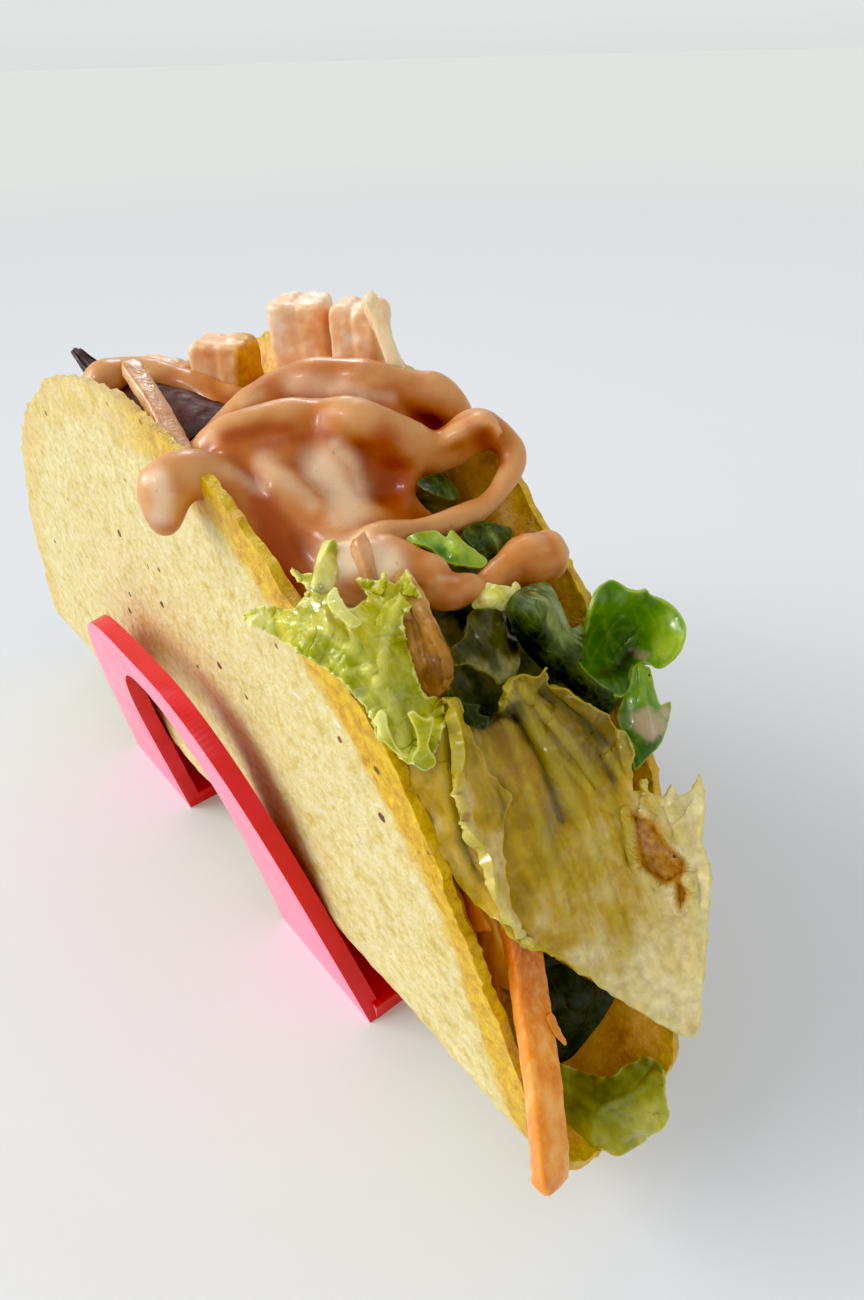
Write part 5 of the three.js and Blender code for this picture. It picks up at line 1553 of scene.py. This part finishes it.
def meshPiece(name, parts):
    points, faces = [], []
    for more, newFaces in parts:
        faces += [tuple(k + len(points) for k in face) for face in newFaces]
        points += more
    piece = newPiece(name, points, faces)
    turnOutwards(piece)
    return piece


def vegetableMaterial(name, pale, middle, deep, shine=0.3, glow=0.3):
    cut = Nodes(name, Roughness=shine, Specular_IOR_Level=0.3, Subsurface_Weight=glow,
                Subsurface_Scale=0.0014, Subsurface_Radius=(1.0, 0.5, 0.15), Coat_Weight=0.15,
                Coat_Roughness=0.06)
    grain = cut.noise(1, 4, 0.6, vector=cut.mapped((0.6, 0.6, 0.13)))
    shade = cut.ramp(grain, (0.3, deep), (0.5, middle), (0.75, pale))
    # painted shade: the long stick is a deeper orange towards its upper end, which lies in shade
    shade = cut.mix(cut.math("MULTIPLY", cut.attribute("paintedTopShade"), 0.75), shade, "B04408")
    lines = cut.noise(1, 3, 0.6, vector=cut.mapped((2.2, 2.2, 0.35)))
    shade = cut.mix(cut.math("MULTIPLY", cut.between(lines, 0.45, 0.7), 0.28), shade, pale)
    rough = cut.ramp(cut.noise(1.5, 3), (0.35, shine * 0.6), (0.7, shine * 1.4))
    return cut.finish(shade, rough, cut.bump(cut.math("ADD", lines, cut.noise(0.6, 3)), 0.08, 0.6))


carrotOrange = vegetableMaterial("carrotOrange", "FFC672", "F49A2C", "E07E12", shine=0.24)
onionPale = vegetableMaterial("onionPale", "F8E8C8", "F2D8A8", "E4BC84", glow=0.5)
onionCoated = vegetableMaterial("onionCoated", "EAC090", "D8A06C", "BC7E46", glow=0.4)
carrotSoft = vegetableMaterial("carrotSoft", "F0B450", "DE9A34", "C07A20", glow=0.6)

stripFinish = {"onion_strip_2": onionCoated, "onion_strip_3": onionCoated, "carrot_strip_3": carrotSoft}
# a thin piece that lifts off the long strip
splinter = {"run": [(59.2, -7.4, 30.4), (60.0, -7.2, 28.8), (60.8, -6.9, 27.6)], "size": (0.9, 0.5),
            "up": (1, 0, 0.3), "seed": 3, "sides": 8, "step": 0.4, "twist": 0, "taper": 0.6}

for name, strip in strips.items():
    parts = [ringStrip(strip["run"], strip["size"], strip["up"], seed=len(name) + ord(name[-1]))]
    if name == "carrot_strip_1":       # the long one that shows
        parts.append(ringStrip(**splinter))
    kind, material = ("carrot", carrotOrange) if name.startswith("carrot") else ("onion", onionPale)
    material = stripFinish.get(name, material)
    piece = meshPiece(name, parts)
    # the long stick's upper end is marked for painted shade
    paintedTopShade = [smoothStep(27, 36, v.co.z) if name == "carrot_strip_1" else 0.0 for v in piece.data.vertices]
    giveAttribute(piece, "paintedTopShade", paintedTopShade)
    finishPiece(piece, name.replace("_strip", "_stick"), kind, material, name, sharp=45)


# chunks and the heap, sized by the solids they stand for

heap = {
    "node": "salad_heap",
    "voxel": 0.6,
    "smooth": 3,
    "lumps": [(4.5, 1.6), (1.8, 0.7)],   # size and height
}


def makeHeap():
    # a fine smooth copy of the plain solid, in millimetres
    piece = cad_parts[heap["node"]].copy()
    piece.data = piece.data.copy()
    piece.parent = None
    for key in list(piece.keys()):
        del piece[key]
    bpy.context.collection.objects.link(piece)
    piece.data.transform(Matrix.Scale(1 / millimetre, 4) @ Matrix.Translation(-tacoMiddle))
    turnOutwards(piece, merge=0.001)
    modify(piece, "REMESH", mode="VOXEL", voxel_size=heap["voxel"])
    modify(piece, "SMOOTH", factor=0.5, iterations=heap["smooth"])
    for size, height in heap["lumps"]:
        lumps(piece, size, height)
    return piece


def chunkMaterial():
    coat = Nodes("coatedChunk", Roughness=0.45, Specular_IOR_Level=0.3, Subsurface_Weight=0.4,
                 Subsurface_Scale=0.002, Subsurface_Radius=(1.0, 0.5, 0.2), Coat_Weight=0.06,
                 Coat_Roughness=0.2)
    shade = coat.ramp(coat.noise(3, 3), (0.35, "F2B478"), (0.55, "FAD0A2"), (0.75, "FEECD4"))
    yellow = coat.attribute("mustard")
    shade = coat.mix(yellow, shade, coat.ramp(coat.noise(1.2, 3), (0.35, "C8840C"), (0.7, "E8B41C")))
    return coat.finish(shade, 0.45, coat.bump(coat.noise(0.8, 4, 0.6), 0.1, 0.6))


chunks = {
    # growth along x, y and z, how square, turn in degrees, and lift in millimetres
    "coated_chunk_1": ((1.0, 1.0, 1.0), 7, 40, 0.6),
    "coated_chunk_2": ((1.05, 1.05, 1.0), 8, 44, 0.0),
    "coated_chunk_3": ((1.05, 1.05, 1.0), 8, 36, 0.0),
    "coated_chunk_4": ((0.9, 0.9, 0.85), 3, 30, -0.6),
    "coated_chunk_5": ((1.0, 1.0, 1.0), 3.5, 20, 0.0),
    "coated_chunk_6": ((1.0, 1.0, 1.0), 3.5, -25, 0.0),
}


chunkForm = {
    "levels": 5,
    "groove": 0.07,                    # depth of the hollow, as a share of the chunk
    "grooveWidth": 0.16,
    "lumps": [(3.0, 0.7), (1.1, 0.25)],   # size and height
}


def makeChunk(node, grow, square, turn, lift):
    # a cube of many cells, rounded, with a hollow down one side where two cuts meet
    low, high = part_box(node)
    centre = (low + high) / 2 / millimetre - tacoMiddle / millimetre + Vector((0, 0, lift))
    half = (high - low) / 2 / millimetre
    bpy.ops.mesh.primitive_cube_add(size=2)
    block = bpy.context.object
    block.name = node + "Block"
    levels = chunkForm["levels"]
    modify(block, "SUBSURF", subdivision_type="SIMPLE", levels=levels, render_levels=levels)
    spin = Matrix.Rotation(math.radians(turn), 3, "Z")
    shrink = 1 / (abs(math.cos(math.radians(turn))) + abs(math.sin(math.radians(turn))) * 0.75)
    for vertex in block.data.vertices:
        p = vertex.co
        norm = (abs(p.x) ** square + abs(p.y) ** square + abs(p.z) ** square) ** (1 / square)
        p = p / norm
        wavy = (p.x + 0.05 * math.sin(3 * p.z)) / chunkForm["grooveWidth"]
        groove = chunkForm["groove"] * math.exp(-wavy ** 2) * smoothStep(-0.9, 0.1, p.z)
        p = Vector((p.x * (1 + 0.05 * p.z), p.y * (1 - groove), p.z * (1 - 0.5 * groove)))
        p = Vector((p.x * half.x * grow[0] * shrink, p.y * half.y * grow[1] * shrink,
                    p.z * half.z * grow[2]))
        vertex.co = centre + spin @ p
    for size, height in chunkForm["lumps"]:
        lumps(block, size, height)
    modify(block, "SMOOTH", factor=0.5, iterations=2)
    return block


coatedChunk = chunkMaterial()
for node, (grow, square, turn, lift) in chunks.items():
    piece = makeChunk(node, grow, square, turn, lift)
    # the first chunk is yellow on its right side, from these pixels on
    yellow = [smoothStep(228, 240, viewPixel(v.co)[0]) if node == "coated_chunk_1" else 0.0
              for v in piece.data.vertices]
    giveAttribute(piece, "mustard", yellow)
    finishPiece(piece, node.replace("coated_", ""), "coated_chunk", coatedChunk, node)


def heapMaterial():
    salad = Nodes("choppedSalad", Roughness=0.4, Subsurface_Weight=0.2, Subsurface_Scale=0.001,
                  Subsurface_Radius=(0.8, 0.9, 0.3), Coat_Weight=0.2, Coat_Roughness=0.2)
    pick = salad.noise(2.6, 2)
    shade = salad.ramp(pick, (0.32, "1E2C10"), (0.45, "44521C"), (0.55, "6B6A28"), (0.66, "8A7838"))
    return salad.finish(shade, 0.4, salad.bump(salad.noise(1.0, 4, 0.6), 0.3, 0.8))


core = makeHeap()
coreTree = BVHTree.FromObject(core, bpy.context.evaluated_depsgraph_get())

shreds = {
    # how many, width, thickness, shortest and longest, how far from the core, material and slot
    "lettuce_shreds": (64, 2.9, 0.55, 9, 20, 0.5, lettuceGreen, "lettuce"),
    "dark_shreds": (30, 3.8, 0.5, 7, 13, 0.8, darkGreen, "dark_leaf"),
    "carrot_shreds": (26, 1.5, 1.1, 9, 18, 1.0, carrotOrange, "carrot"),
    "pale_shreds": (30, 1.5, 0.8, 8, 16, 1.2, onionPale, "onion"),
}


walk = {
    "tries": 200,
    # a draw from 0 to 1 picks where a shred starts: on the open top, or from these values on
    # in the far mouth and in the near mouth
    "farFrom": 0.5,
    "nearFrom": 0.78,
    "away": 90,
    "top": ((-48, -13), (-7, 9)),      # reach in x and in y
    "far": ((-8, 8), (14, 46)),        # reach in y and in z
    "near": ((-7, 8), (13, 52)),
    "stride": 1.6,
    "arch": 0.9,                       # how far a shred's middle stands off
    "wander": 0.22,
    "clearHeight": 44,                 # above this, past clearX, the shred ends
    "clearX": -24,
}


def inwardLimit(z, side):
    return wallY(max(z, tortilla["bottom"] + 4), side, tortilla["thickness"] + 1.0)


def walkShred(draw, length, lift):
    # starts on the heap's open surface and creeps over it
    away = walk["away"]
    for _ in range(walk["tries"]):
        pick = draw.random()
        zone = "top" if pick < walk["farFrom"] else "far" if pick < walk["nearFrom"] else "near"
        first, second = (draw.uniform(*reach) for reach in walk[zone])
        start, down = {
            "top": (Vector((first, second, away)), Vector((0, 0, -1))),
            "far": (Vector((-away, first, second)), Vector((1, 0, 0))),
            "near": (Vector((away, first, second)), Vector((-1, 0, 0))),
        }[zone]
        spot, normal, _, _ = coreTree.ray_cast(start, down)
        if spot is None or normal.dot(-down) < 0.3:
            continue
        break
    heading = Vector((draw.gauss(0, 1), draw.gauss(0, 0.7), draw.gauss(0, 1)))
    points = []
    place = spot + normal * lift
    steps = max(4, round(length / walk["stride"]))
    for k in range(steps + 1):
        heading = (heading - normal * heading.dot(normal)).normalized()
        arch = walk["arch"] * math.sin(math.pi * k / steps)
        points.append((place + normal * arch, normal.copy()))
        heading += Vector([draw.gauss(0, walk["wander"]) for _ in range(3)])
        found, face, _, _ = coreTree.find_nearest(place + heading * walk["stride"])
        if found is None:
            break
        normal = (normal * 0.5 + face * 0.5).normalized()
        place = found + normal * lift
    kept = []
    for point, out in points:
        left, right = inwardLimit(point.z, -1), inwardLimit(point.z, 1)
        point.y = clamp(point.y, left + 0.8, right - 0.8)
        point.z = max(point.z, tortilla["bottom"] + tortilla["thickness"] + 1.5)
        if point.z > walk["clearHeight"] and point.x > walk["clearX"]:
            return kept
        kept.append((point, out))
    return kept


def shredMesh(draw, route, width, thickness, seed):
    points, faces = [], []
    centres = [p for p, _ in route]
    count = len(route)
    ring = [(-1, 0.25), (-0.5, 0.9), (0.5, 0.9), (1, 0.25), (1, -0.25), (0.5, -0.9), (-0.5, -0.9),
            (-1, -0.25)]
    size = width * draw.uniform(0.7, 1.2)
    for k, (place, out) in enumerate(route):
        ahead = (centres[min(k + 1, count - 1)] - centres[max(k - 1, 0)]).normalized()
        side = out.cross(ahead).normalized()
        top = ahead.cross(side)
        end = 0.55 + 0.45 * smoothStep(0, 1.5, min(k, count - 1 - k))
        wave = 0.5 * math.sin(1.9 * k + seed)
        for a, b in ring:
            curl = wave * thickness * (1 if a > 0 else -0.6) * abs(a)
            points.append(place + side * a * size / 2 * end + top * (b * thickness / 2 + curl))
        if k:
            base = (k - 1) * 8
            faces += [(base + j, base + (j + 1) % 8, base + 8 + (j + 1) % 8, base + 8 + j)
                      for j in range(8)]
    faces.append(tuple(reversed(range(8))))
    faces.append(tuple(range((count - 1) * 8, count * 8)))
    return points, faces


draw = random.Random(11)
for name, (count, width, thickness, short, long, lift, material, slot) in shreds.items():
    parts = []
    for k in range(count):
        route = walkShred(draw, draw.uniform(short, long), lift + draw.uniform(0, 0.9))
        if len(route) > 3:
            parts.append(shredMesh(draw, route, width, thickness, k))
    piece = meshPiece(name, parts)
    modify(piece, "SUBSURF", levels=1, render_levels=1)
    tones = np.array([0.5 + 0.5 * noise.noise(v.co * 0.12) for v in piece.data.vertices])
    giveAttribute(piece, "tone", tones)
    finishPiece(piece, name, slot, material)

finishPiece(core, "salad_core", "salad", heapMaterial(), heap["node"])
